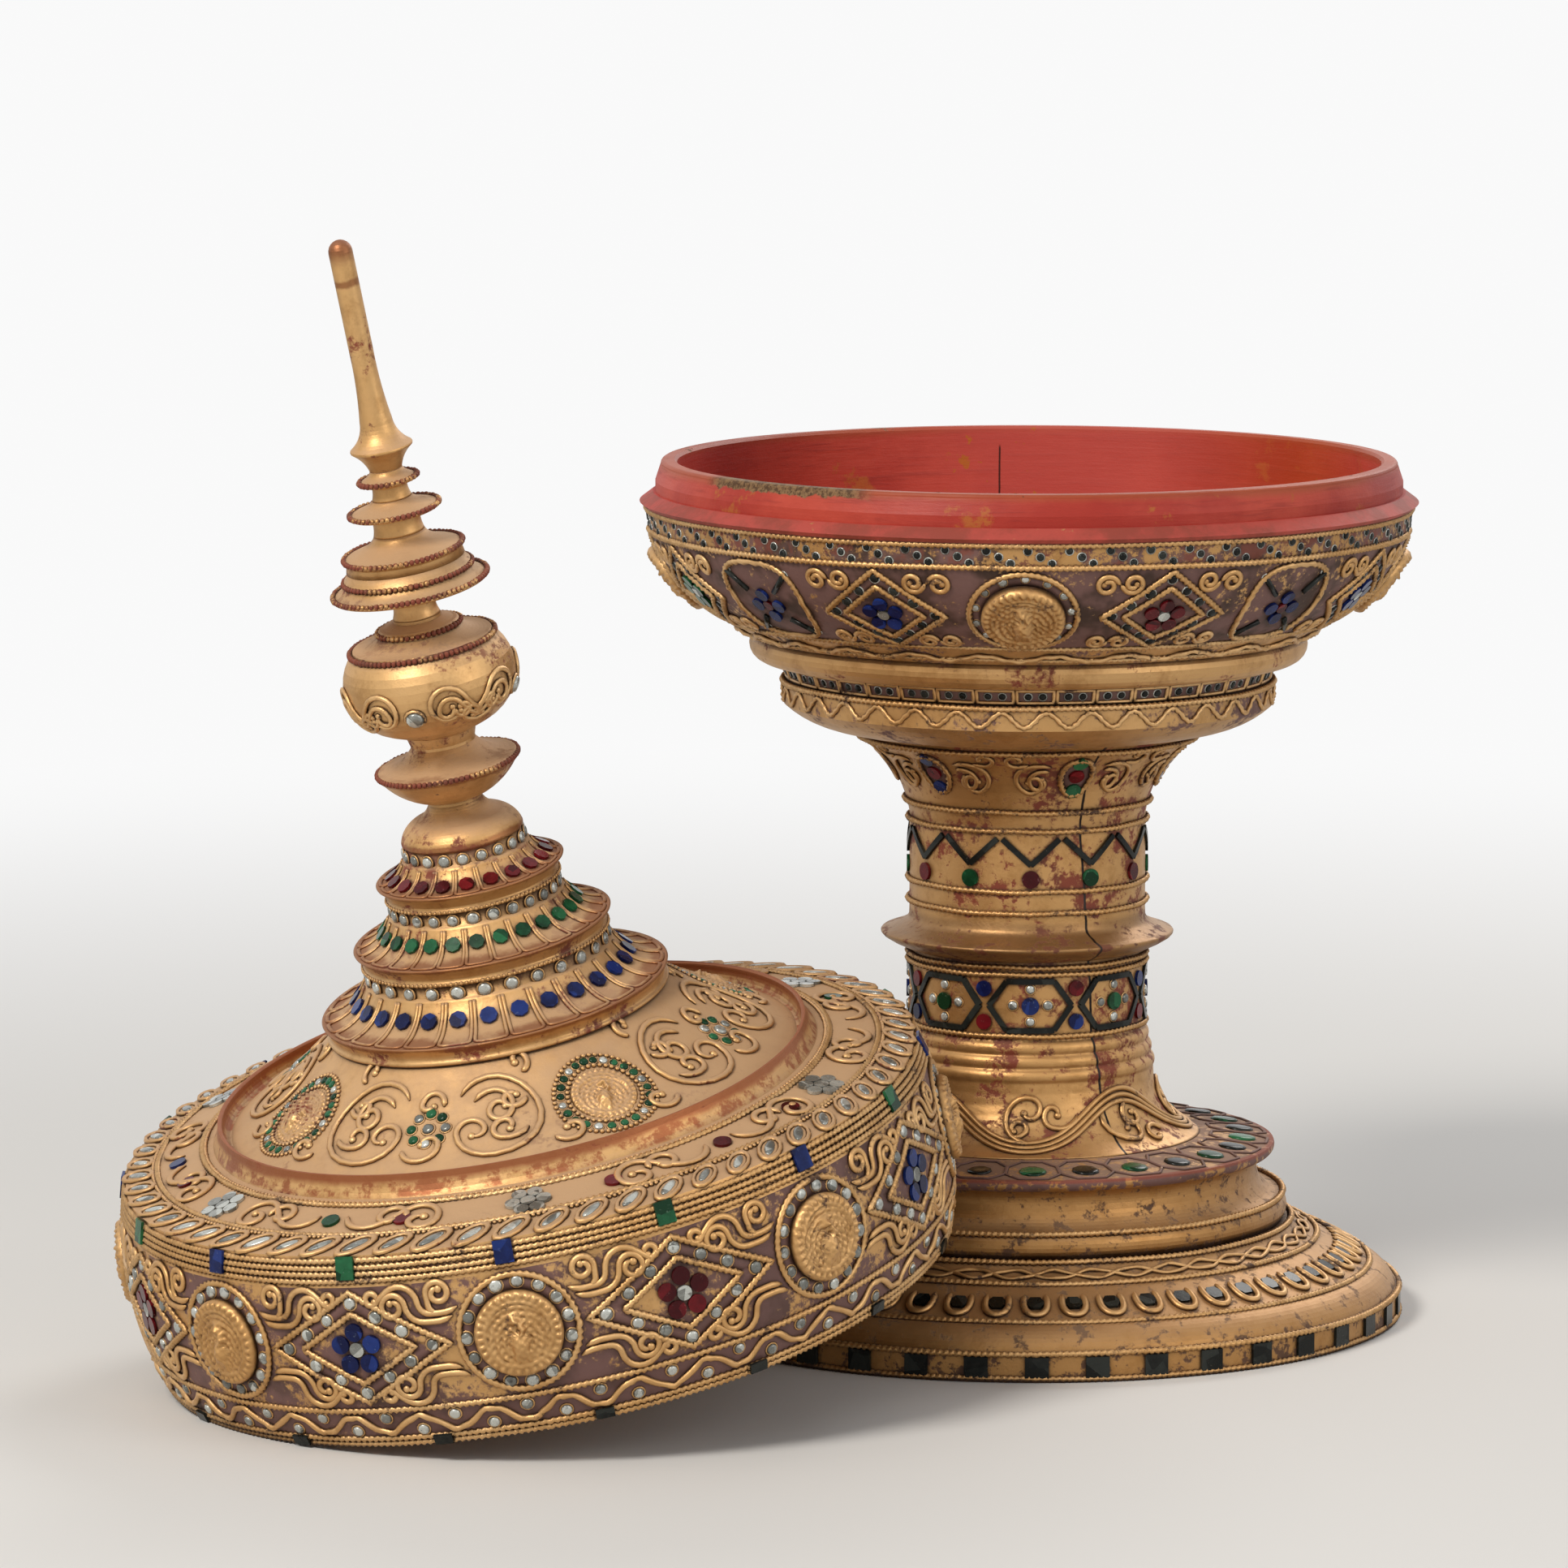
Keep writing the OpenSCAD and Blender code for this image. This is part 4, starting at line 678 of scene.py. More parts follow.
def newTree(name, inputs):
    tree = bpy.data.node_groups.new(name, "GeometryNodeTree")
    graph = Graph(tree)
    for label, kind in inputs:
        tree.interface.new_socket(label, in_out="INPUT", socket_type="NodeSocket" + kind)
    tree.interface.new_socket("Geometry", in_out="OUTPUT", socket_type="NodeSocketGeometry")
    entry = tree.nodes.new("NodeGroupInput")
    return graph, {label: Sock(graph, entry.outputs[label]) for label, kind in inputs}


def unevenSize(graph, given):
    return graph.node("FunctionNodeRandomValue", {"data_type": "FLOAT"},
                      {2: 1.0 - given["Uneven"], 3: 1.0 + given["Uneven"], "Seed": given["Seed"]}, 1)


def closeTree(graph, instances, material):
    solid = graph.node("GeometryNodeRealizeInstances", {}, {"Geometry": instances})
    coated = graph.node("GeometryNodeSetMaterial", {}, {"Geometry": solid, "Material": material})
    graph.node("NodeGroupOutput", {}, {"Geometry": coated})
    return graph.tree


def spotTree():
    graph, given = newTree("setOnSpots", [
        ("Geometry", "Geometry"), ("Shape", "Object"), ("Uneven", "Float"), ("Seed", "Int"),
        ("Material", "Material")])
    named = {key: graph.node("GeometryNodeInputNamedAttribute", {"data_type": "FLOAT_VECTOR"}, {"Name": key})
             for key in ("aim", "along", "size")}
    turn = graph.node("FunctionNodeAlignRotationToVector", {"axis": "Z"}, {"Vector": named["aim"]})
    turn = graph.node("FunctionNodeAlignRotationToVector", {"axis": "X", "pivot_axis": "Z"},
                      {"Rotation": turn, "Vector": named["along"]})
    scale = graph.node("ShaderNodeVectorMath", {"operation": "SCALE"},
                       {0: named["size"], "Scale": unevenSize(graph, given)})
    shape = graph.node("GeometryNodeObjectInfo", {"transform_space": "ORIGINAL"},
                       {"Object": given["Shape"]}, "Geometry")
    many = graph.node("GeometryNodeInstanceOnPoints", {}, {
        "Points": given["Geometry"], "Instance": shape, "Rotation": turn, "Scale": scale})
    return closeTree(graph, many, given["Material"])


def beadTree():
    graph, given = newTree("beadsOnLine", [
        ("Geometry", "Geometry"), ("Spacing", "Float"), ("Radius", "Float"), ("Uneven", "Float"),
        ("Seed", "Int"), ("Material", "Material")])
    line = graph.node("GeometryNodeMeshToCurve", {}, {"Mesh": given["Geometry"]})
    spots = graph.node("GeometryNodeResampleCurve", {"mode": "LENGTH"},
                       {"Curve": line, "Length": given["Spacing"]})
    bead = graph.node("GeometryNodeMeshUVSphere", {}, {"Segments": 8, "Rings": 5, "Radius": given["Radius"]})
    many = graph.node("GeometryNodeInstanceOnPoints", {}, {
        "Points": spots, "Instance": bead, "Scale": unevenSize(graph, given)})
    return closeTree(graph, many, given["Material"])


trees = {"spots": spotTree(), "beads": beadTree()}


def grow(name, body, mesh, tree, given, replaced=()):
    piece = bpy.data.objects.new(name, mesh)
    bpy.context.collection.objects.link(piece)
    nodesOn = piece.modifiers.new("grow", "NODES")
    nodesOn.node_group = trees[tree]
    items = trees[tree].interface.items_tree
    sockets = {item.name: item.identifier for item in items if item.in_out == "INPUT"}
    for label, value in given.items():
        nodesOn[sockets[label]] = value
    graph = bpy.context.evaluated_depsgraph_get()
    solid = bpy.data.meshes.new_from_object(piece.evaluated_get(graph))
    piece.modifiers.remove(nodesOn)
    piece.data = solid
    solid.name = name
    solid.polygons.foreach_set("use_smooth", [True] * len(solid.polygons))
    settle(piece, body, replaced)


def setOn(name, body, shape, spots, finish, uneven=0.06, seed=3, replaced=()):
    # spots: (point, normal, along, (x, y, z) size) on the body's own axis
    place = places[body]
    turn = place.to_3x3()
    mesh = bpy.data.meshes.new(name)
    mesh.from_pydata([place @ (s[0] * mm) for s in spots], [], [])
    columns = {"aim": [turn @ s[1] for s in spots], "along": [turn @ s[2] for s in spots],
               "size": [Vector(s[3]) * mm for s in spots]}
    for key, values in columns.items():
        column = mesh.attributes.new(key, "FLOAT_VECTOR", "POINT")
        column.data.foreach_set("vector", [c for v in values for c in v])
    given = {"Shape": shapes[shape], "Uneven": uneven, "Seed": seed, "Material": finishes[finish]}
    grow(name, body, mesh, "spots", given, replaced)


def beadLines(name, body, rings, spacing, radius, finish, slot="gilded_wood", uneven=0.1, seed=5):
    # rings: closed lines of (point, normal)
    place = places[body]
    points, edges = [], []
    for ring in rings:
        first = len(points)
        points += [place @ (p * mm) for p, n in ring]
        edges += [(first + i, first + (i + 1) % len(ring)) for i in range(len(ring))]
    mesh = bpy.data.meshes.new(name)
    mesh.from_pydata(points, edges, [])
    given = {"Spacing": spacing * mm, "Radius": radius * mm, "Uneven": uneven, "Seed": seed,
             "Material": finishes[finish]}
    grow(name, body, mesh, "beads", given)


def shapeObject(name, points, faces):
    mesh = bpy.data.meshes.new(name)
    mesh.from_pydata(points, [], faces)
    return bpy.data.objects.new(name, mesh)


def lathe(name, outline, sides):
    # A small turned shape from (radius, height) pairs, closed at both ends
    points = []
    for r, z in outline:
        for k in range(sides):
            a = 2 * math.pi * k / sides
            points.append((r * math.cos(a), r * math.sin(a), z))
    return shapeObject(name, points, skin(0, len(outline), sides))


def hoop(name, sides, ringSides, tube):
    # A ring of radius 1
    points = []
    for i in range(sides):
        a = 2 * math.pi * i / sides
        for k in range(ringSides):
            b = 2 * math.pi * k / ringSides
            r = 1 + tube * math.cos(b)
            points.append((r * math.cos(a), r * math.sin(a), -tube * math.sin(b)))
    return shapeObject(name, points, skin(0, sides, ringSides, True))


shapes = {
    "stud": lathe("studShape", [(1.0, -0.4), (1.0, 0.30), (0.84, 0.52), (0.45, 0.60)], 10),
    "collar": hoop("collarShape", 12, 5, 0.20),
    "boss": lathe("bossShape", [(1.0, -0.3), (0.92, 0.28), (0.66, 0.62), (0.25, 0.80)], 10),
}


# Drawn lines

def ringLine(radius, count):
    turns = [2 * math.pi * i / count for i in range(count)]
    return [(radius * math.cos(a), radius * math.sin(a)) for a in turns]


def polyLine(corners, step):
    path = []
    for (x0, y0), (x1, y1) in zip(corners, corners[1:] + corners[:1]):
        count = max(1, int(math.dist((x0, y0), (x1, y1)) / step))
        path += [(x0 + (x1 - x0) * i / count, y0 + (y1 - y0) * i / count) for i in range(count)]
    return path


def diamondLine(half, size, step=0.8):
    x, y = half[0] * size, half[1] * size
    return polyLine([(x, 0), (0, y), (-x, 0), (0, -y)], step)


def boxLine(half, step):
    x, y = half
    return polyLine([(x, -y), (x, y), (-x, y), (-x, -y)], step)


def panelLine(half, square, count=96):
    # A square with bowed sides and round corners
    def bow(share):
        return math.copysign(abs(share) ** (2 / square), share)

    return [(half[0] * bow(x), half[1] * bow(y)) for x, y in ringLine(1.0, count)]


def scroll(start, heading, bends):
    # Arcs one after another, each (radius, degrees); positive degrees turn left
    x, y = start
    turn = math.radians(heading)
    path = [start]
    for radius, degrees in bends:
        count = max(3, int(abs(degrees) / 16))
        step = math.radians(degrees) / count
        for _ in range(count):
            turn += step / 2
            reach = 2 * radius * math.sin(abs(step) / 2)
            x, y = x + reach * math.cos(turn), y + reach * math.sin(turn)
            turn += step / 2
            path.append((x, y))
    return path


def waveLine(waves, rise, steps=16):
    # Angle in degrees and height of a wavy line that closes round its wall
    count = waves * steps
    return [(360 * i / count, rise * math.sin(2 * math.pi * i / steps)) for i in range(count)]


def bent(start, end, hollow, count=8):
    # A curve between two points of an outline, pressed in towards the axis by hollow at its middle
    return [(start[0] + (end[0] - start[0]) * i / count - hollow * math.sin(math.pi * i / count),
             start[1] + (end[1] - start[1]) * i / count) for i in range(count + 1)]


# Studs and curled scrolls

studSet = {"uneven": 0.08, "collar": 1.13, "collarUneven": 0.05, "seed": 7}


class StudSet:
    # Round studs of glass, each in its own collar
    def __init__(self, name, body):
        self.name, self.body, self.spots = name, body, []

    def add(self, wall, angle, s, x, y, radius):
        (point, normal), = wall.draw(angle, s, [(x, y)])
        self.spots.append((point, normal, compass(normal)[0], (radius,) * 3))

    def circle(self, wall, angle, s, distance, turn, radius):
        self.add(wall, angle, s, distance * math.cos(turn), distance * math.sin(turn), radius)

    def build(self, glass="clear_glass", rim="gilt_relief"):
        seed = studSet["seed"]
        setOn(self.name, self.body, "stud", self.spots, glass, studSet["uneven"], seed)
        rims = [(p, n, a, (size[0] * studSet["collar"],) * 3) for p, n, a, size in self.spots]
        setOn(self.name + "Collars", self.body, "collar", rims, rim, studSet["collarUneven"], seed)


curl = {"lift": 0.4, "taper": 0.06, "ball": 1.3}
curlEnds = {"pedestal": [], "cover": []}


def curlWork(relief, wall, angle, s, lines, size, mirror=(1, 1)):
    # Scrolls of one group, each with a ball at its inner end
    for start, heading, bends in lines:
        path = [(x * mirror[0], y * mirror[1]) for x, y in scroll(start, heading, bends)]
        relief.tube(wall.draw(angle, s, path, curl["lift"]), size, curl["taper"])
        (point, normal), = wall.draw(angle, s, path[-1:])
        curlEnds[wall.body].append((point, normal, compass(normal)[0], (size * curl["ball"],) * 3))


# Embossed roundels: a bird with a spread tail inside a raised edge

roundel = {"radius": 15.6, "rise": 2.4, "frill": 32, "rings": 28, "spokes": 128, "skirt": 1.6,
           "tailRow": 2.4, "tailFoot": 2.6, "tailStart": 3.2, "tailEdge": 0.72, "rib": 0.76, "edge": 0.80}


def roundelHeight(x, y):
    r = math.hypot(x, y) / roundel["radius"]
    height = roundel["rise"] + 0.7 * (1 - r * r)
    reach, turn = math.hypot(x, y + roundel["tailFoot"]), math.atan2(x, y + roundel["tailFoot"])
    if r < roundel["tailEdge"] and reach > roundel["tailStart"] and abs(turn) < 2.5:
        row = reach / roundel["tailRow"]
        plume = math.cos(turn * (7 + 4 * int(row)))
        height += 0.55 * math.sin(2 * math.pi * row) * (0.6 + 0.4 * plume)
    height += 0.22 * math.sin(1.9 * x + 0.7) * math.sin(2.3 * y + 1.1)  # uneven ground
    breast = 2.7 * math.exp(-((x / 2.8) ** 2 + ((y + 3.6) / 4.6) ** 2) ** 1.5)
    neck = 0.0
    if -1.5 < y < 6.0:
        bend = 1.6 * math.sin(3.1 * max(0.0, (y + 1.0) / 6.0))
        neck = 2.2 * math.exp(-((x - bend) / 1.25) ** 2)
    head = 2.5 * math.exp(-((x + 0.7) ** 2 + (y - 5.6) ** 2) / 2.4)
    height += max(breast, neck, head)
    height += 0.9 * math.exp(-(((abs(x) - 2.2) / 0.7) ** 2 + ((y + 8.4) / 2.4) ** 2))  # legs
    height += 0.7 * math.exp(-((r - roundel["rib"]) / 0.03) ** 2)
    if r > roundel["edge"]:
        fold = math.sin(math.pi * min(1.0, (r - roundel["edge"]) / 0.20)) ** 0.7
        height += fold * (0.35 + 0.55 * math.cos(roundel["frill"] * math.atan2(y, x)))
        height -= max(0, r - 0.94) / 0.06
    return height


def roundelDiscs(name, body, spots, replaced, size, sink=0.0, finish="roundels", slot="gilt_relief"):
    # spots: (wall, angle, s, lean), where lean turns the bird a little
    relief = Relief(name, body, finish, slot)
    count, spokes = roundel["rings"], roundel["spokes"]
    for wall, angle, s, lean in spots:
        point, normal = wall.at(angle, s)
        east, north = compass(normal)
        first = len(relief.points)
        relief.points.append(point + normal * (roundelHeight(0, 0) * size - sink))
        for i in range(1, count + 2):
            r = roundel["radius"] * min(i, count) / count
            for k in range(spokes):
                a = 2 * math.pi * k / spokes
                x, y = r * math.cos(a), r * math.sin(a)
                tx = x * math.cos(lean) - y * math.sin(lean)
                ty = x * math.sin(lean) + y * math.cos(lean)
                rise = roundelHeight(tx, ty) * size - sink if i <= count else -roundel["skirt"]
                relief.points.append(point + (east * x + north * y) * size + normal * rise)
        for k in range(spokes):
            relief.faces.append((first, first + 1 + k, first + 1 + (k + 1) % spokes))
        for i in range(count):
            a, b = first + 1 + i * spokes, first + 1 + (i + 1) * spokes
            for k in range(spokes):
                j = (k + 1) % spokes
                relief.faces.append((a + k, b + k, b + j, a + j))
        last = first + 1 + count * spokes
        relief.faces.append(tuple(last + k for k in reversed(range(spokes))))
    relief.build(*replaced)


# Where the ornament goes, and the finish of the CAD pieces that show

walls = {
    "petals": topWall("pedestal", ["foot_ogee"], 126.8, 107.8, 8),
    "chain": topWall("pedestal", ["foot_ogee"], 107.2, 98.4, 6),
    "plate": topWall("pedestal", ["foot_plate"], 91.2, 66.4, 4),
    "flare": sideWall("pedestal", ["stem"], 67.4, 91.6, 20),
    "lowerShaft": sideWall("pedestal", ["stem"], 107.4, 135.6, 4),
    "capital": sideWall("pedestal", ["stem"], 186.4, 217.6, 20),
    "baluster": sideWall("pedestal", ["stem"], 67.05, 217.95, 300),
    "seat": sideWall("pedestal", ["bowl_seat"], 227.4, 234.6, 2),
    "recess": sideWall("pedestal", ["bowl_seat"], 236.4, 242.6, 2),
    "base": sideWall("pedestal", ["bowl_shell"], 253.0, 259.2, 4),
    "frieze": sideWall("pedestal", ["bowl_shell"], 259.7, 290.8, 24),
    "studBand": sideWall("pedestal", ["bowl_shell"], 291.4, 298.6, 2),
    "side": sideWall("cover", ["cover_band", "cover_shoulder"], 0.3, 69.2, 36),
    "shoulder": topWall("cover", ["cover_shoulder"], 141.0, 109.2, 12),
    "dome": topWall("cover", ["cover_dome"], 101.2, 60.5, 16),
    "lowerTier": topWall("cover", ["tier_lower"], 60.6, 44.4, 8),
    "middleTier": topWall("cover", ["tier_middle"], 44.6, 31.4, 8),
    "upperTier": topWall("cover", ["tier_upper"], 32.1, 22.8, 8),
    "bulb": sideWall("cover", ["spire_bulb"], 213.0, 241.4, 20),
}
print("walls read:", len(walls))

nodeFinishes = {
    "foot_ogee": "foot", "foot_drum": "foot", "foot_plate": "plate",
    "bowl_seat": "seat", "bowl_shell": "bowl",
    "cover_band": "coverSide", "cover_shoulder": "shoulder", "cover_dome": "coverTop",
    "spire_bell": "spire", "spire_disc": "spire", "spire_bulb": "spire", "finial": "spire",
}
for part in frame["record"]["subparts"]:
    coat = nodes[part["node"]].data.materials
    coat.clear()
    coat.append(finishes[nodeFinishes.get(part["node"], part["material_slot"])])


# Cords that ring the walls, each by the radius and height of its middle

side = walls["side"]
cord = {"size": 1.1, "thin": 1.0, "thinUnder": 60, "seed": 11, "proud": 0.1}
sideCords = [(side.spot(side.reachOf(z))[0] + cord["proud"], z)
             for z in (0.95, 3.0, 14.4, 61.2, 63.4, 65.5, 67.7)]
cordRings = [
    ("foot", "pedestal", "oldRelief",
     [(127.3, 19.6), (107.8, 29.6), (98.2, 35.6), (95.0, 45.2), (138.2, 10.3), (138.2, 1.3)]),
    ("stem", "pedestal", "oldRelief",
     [(44.0, 108.8), (44.0, 134.2), (44.0, 131.5), (44.0, 154.0), (44.0, 162.0), (44.0, 184.2), (45.3, 191.2),
      (62.3, 214.9)]),
    ("bowl", "pedestal", "gilt_relief",
     [(105.4, 254.6), (112.0, 259.5), (139.1, 291.0), (140.1, 299.0), (90.2, 235.2)]),
    ("cover", "cover", "gilt_relief", sideCords + [(129.6, 72.3), (112.5, 76.2)]),
]
for name, body, finish, rings in cordRings:
    cords = Relief(name + "Cords", body, finish)
    for i, (radius, height) in enumerate(rings):
        size = cord["size"] if radius > cord["thinUnder"] else cord["thin"]
        cords.ring(radius, height, size, cord["seed"] + i)
    cords.build(name + "_cords")
print("cords laid")


# Friezes: a roundel or a lozenge with its ground, frames and studs

frieze = {"lift": 0.3, "ground": 0.2, "groundStep": 4.0, "groundUnder": 1.0, "studTurn": 0.4, "studOut": 0.1,
          "edgeStuds": (0.0, 0.36, 0.68)}
quarters = ((-1, -1), (1, -1), (-1, 1), (1, 1))


def roundelSet(frames, ground, studs, wall, angle, s, sizes):
    frames.rope(wall.draw(angle, s, ringLine(sizes["ring"], 110), frieze["lift"]), sizes["cord"])
    hole = sizes["disc"] - frieze["groundUnder"]
    ground.slab(wall.draw(angle, s, ringLine(sizes["ring"], 48), frieze["ground"]),
                wall.draw(angle, s, ringLine(hole, 48), frieze["ground"]))
    distance = (sizes["ring"] + sizes["disc"]) / 2 + frieze["studOut"]
    for i in range(sizes["studs"]):
        turn = 2 * math.pi * (i + frieze["studTurn"]) / sizes["studs"]
        studs.circle(wall, angle, s, distance, turn, sizes["ringStud"])


def lozengeSet(frames, ground, studs, wall, angle, s, sizes):
    half = sizes["lozenge"]
    for share in (sizes["outer"], sizes["inner"]):
        frames.rope(wall.draw(angle, s, diamondLine(half, share), frieze["lift"]), sizes["cord"])
    edge = diamondLine(half, sizes["outer"], frieze["groundStep"])
    shrink = sizes["inner"] / sizes["outer"]
    hole = [(x * shrink, y * shrink) for x, y in edge]
    ground.slab(wall.draw(angle, s, edge, frieze["ground"]), wall.draw(angle, s, hole, frieze["ground"]))
    corners = [(1, 0), (0, 1), (-1, 0), (0, -1)]
    for (x0, y0), (x1, y1) in zip(corners, corners[1:] + corners[:1]):
        for t in frieze["edgeStuds"]:
            x = (x0 + (x1 - x0) * t) * half[0] * sizes["between"]
            y = (y0 + (y1 - y0) * t) * half[1] * sizes["between"]
            studs.add(wall, angle, s, x, y, sizes["stud"])


# Cover: frieze of roundels and lozenges round the side, and a wavy cord below it

coverFrieze = {"start": -1.5, "count": 8, "mid": 0.54, "margin": 0.3, "lean": 0.12, "lozenge": (35.0, 20.5),
               "outer": 0.968, "inner": 0.61, "between": 0.79, "ring": 20.4, "disc": 15.2, "studs": 15,
               "ringStud": 2.15, "stud": 2.15, "cord": 1.2, "scroll": 1.25, "waves": 36, "waveRise": 3.3,
               "waveMid": 8.7, "waveStud": 2.0, "waveStudAside": 2.6}
coverCurls = [
    ((36.5, 9.4), 205, [(14, -28), (60, 3), (6.5, -87), (4.2, 180), (3.3, 150), (2.2, 150)]),
    ((38.6, 12.4), 210, [(11.6, -33), (60, 3), (4.1, -87), (6.6, 125), (60, 5.7), (2.1, -300), (1.3, -90)]),
]
coverTopCurl = ((31.5, 11.0), 178, [(3, -85), (60, 3.3), (3.8, -180), (3.0, -150), (2.0, -150)])
coverMid = coverFrieze["mid"] * (side.length + 2 * coverFrieze["margin"]) - coverFrieze["margin"]
coverFrames = Relief("coverFrames", "cover", "gilt_relief")
coverGround = Relief("coverGround", "cover", "ground")
coverScrolls = Relief("coverScrolls", "cover", "gilt_relief")
coverStuds = StudSet("coverStuds", "cover")
discPlaces = []
for k in range(coverFrieze["count"]):
    angle = coverFrieze["start"] + 360 / coverFrieze["count"] * k
    roundelSet(coverFrames, coverGround, coverStuds, side, angle, coverMid, coverFrieze)
    discPlaces.append((side, angle, coverMid, coverFrieze["lean"] * math.sin(3 * k)))
    angle += 180 / coverFrieze["count"]
    lozengeSet(coverFrames, coverGround, coverStuds, side, angle, coverMid, coverFrieze)
    for mirror in quarters:
        lines = coverCurls + [coverTopCurl] if mirror[1] > 0 else coverCurls
        curlWork(coverScrolls, side, angle, coverMid, lines, coverFrieze["scroll"], mirror)
roundelDiscs("coverRoundels", "cover", discPlaces, ["cover_roundel_discs"],
             coverFrieze["disc"] / roundel["radius"])

wave = waveLine(coverFrieze["waves"], coverFrieze["waveRise"])
wavePath = [side.at(a, coverFrieze["waveMid"] + y, frieze["lift"]) for a, y in wave]
coverFrames.rope(wavePath, coverFrieze["cord"])
for k in range(coverFrieze["waves"] * 2):
    turn = 360 / coverFrieze["waves"] * (k + 0.5) / 2
    aside = coverFrieze["waveStudAside"] * (1 if k % 2 else -1)
    coverStuds.add(side, turn, coverFrieze["waveMid"] + aside, 0, 0, coverFrieze["waveStud"])
coverFrames.build("cover_lozenges", "cover_roundel_rings")
coverGround.build()
coverScrolls.build()
print("cover frieze laid")


# Cover: shoulder with leaning petals and scrolls either side of its stones

shoulder = {"petals": 62, "petalS": 4.6, "petal": (7.0, 3.5), "lean": 42, "rim": 5.0, "rimLift": 0.5,
            "leaf": 1.3, "sliver": (0.66, 0.46, 1.2), "sliverLift": 0.7, "cord": 1.35, "mid": 19.6,
            "aside": 12.8, "stones": (37.0, 92.9, 152.9, 212.9, 275.0, 329.0), "beadS": (10.2, 30.4),
            "bead": (1.9, 0.85)}
shoulderCurls = [
    ((-21.5, 3.0), -80, [(9, 122), (150, 4), (7.4, -170), (5.0, -120), (3.2, -150)]),
    ((1.5, 0.5), 78, [(5.2, 155), (3.8, 120), (2.4, 110)]),
]
top = walls["shoulder"]
lean = math.radians(shoulder["lean"])
length, width = shoulder["petal"]
long, wide, thick = shoulder["sliver"]
ovals, leaves, slivers = [], [], []
for k in range(shoulder["petals"]):
    point, normal = top.at(360 / shoulder["petals"] * k, shoulder["petalS"])
    east, north = compass(normal)
    along = east * math.cos(lean) + north * math.sin(lean)
    ovals.append((point + normal * shoulder["rimLift"], normal, along, (length, width, shoulder["rim"])))
    leaves.append((point, normal, along, (length, width, shoulder["leaf"])))
    raised = point + normal * shoulder["sliverLift"]
    slivers.append((raised, normal, along, (length * long, width * wide, thick)))
setOn("shoulderPetals", "cover", "collar", ovals, "coverTop")
setOn("shoulderLeaves", "cover", "boss", leaves, "coverTop")
setOn("shoulderSlivers", "cover", "stud", slivers, "clear_glass", 0.12)

shoulderScrolls = Relief("shoulderScrolls", "cover", "coverTop", "gilded_wood")
for stone in shoulder["stones"]:
    for flip in (-1, 1):
        angle = stone + shoulder["aside"] * flip
        curlWork(shoulderScrolls, top, angle, shoulder["mid"], shoulderCurls, shoulder["cord"], (flip, 1))
shoulderScrolls.build()
beadRings = [top.around(s, 0.3) for s in shoulder["beadS"]]
beadLines("shoulderBeads", "cover", beadRings, *shoulder["bead"], "coverTop")


# Cover: dome with four birds in rings of studs, flowers and scrolls between them

dome = {"roundels": 4, "start": 26.0, "s": 24.0, "radius": 15.4, "studs": 24, "ringStud": 1.5,
        "beadAside": 2.4, "bead": (2.1, 0.9), "bird": 0.76, "birdSink": 1.6, "birdLean": 0.4, "cord": 1.2,
        "petals": 8, "flower": 6.4, "flowerStud": 1.8, "eye": 2.2}
domeCurls = [
    ((11.0, 12.5), 62, [(12, -42), (17, -200), (13, -80), (5, -170), (3, -140)]),
    ((16.5, 9.5), 55, [(9, -60), (7, -130), (4, -200), (2.6, -110)]),
    ((35.0, -5.0), 235, [(8, -75), (4, -160), (2.5, -140)]),
    ((36.5, 8.0), 250, [(5, -100), (2.8, -200)]),
    ((37.0, 18.5), 10, [(4.2, 150), (2.4, 150)]),
    ((42.0, -12.0), -75, [(4.6, 165), (2.5, 150)]),
]
flowerCurls = [
    ((4.5, 9.0), 75, [(4.6, 190), (2.6, 160)]),
    ((-7.5, -9.0), -80, [(6.2, 185), (3.0, 160)]),
]
domeWall, domeS = walls["dome"], dome["s"]
domeScrolls = Relief("domeScrolls", "cover", "coverTop", "gilded_wood")
domeStuds = StudSet("domeStuds", "cover")
domeGreens = StudSet("domeGreens", "cover")
beadRings, discPlaces = [], []
for k in range(dome["roundels"]):
    angle = dome["start"] + 360 / dome["roundels"] * k
    for i in range(dome["studs"]):
        target = domeGreens if i % 4 else domeStuds
        turn = 2 * math.pi * i / dome["studs"]
        target.circle(domeWall, angle, domeS, dome["radius"], turn, dome["ringStud"])
    for r in (dome["radius"] - dome["beadAside"], dome["radius"] + dome["beadAside"]):
        beadRings.append(domeWall.draw(angle, domeS, ringLine(r, 60), 0.2))
    discPlaces.append((domeWall, angle, domeS, dome["birdLean"]))
    angle += 180 / dome["roundels"]
    for i in range(dome["petals"]):
        target = domeGreens if i % 3 else domeStuds
        turn = 2 * math.pi * i / dome["petals"]
        target.circle(domeWall, angle, domeS, dome["flower"], turn, dome["flowerStud"])
    domeStuds.add(domeWall, angle, domeS, 0, 0, dome["eye"])
    for flip in (-1, 1):
        curlWork(domeScrolls, domeWall, angle, domeS, domeCurls, dome["cord"], (flip, 1))
    curlWork(domeScrolls, domeWall, angle, domeS, flowerCurls, dome["cord"])
domeScrolls.build()
domeStuds.build(rim="coverTop")
domeGreens.build("green_glass", "coverTop")
roundelDiscs("domeBirds", "cover", discPlaces, (), dome["bird"], dome["birdSink"], "coverTop", "gilded_wood")
beadLines("domeBeads", "cover", beadRings, *dome["bead"], "coverTop")


# Cover: three turned tiers with a sharp rim, petal ridges and a studded neck

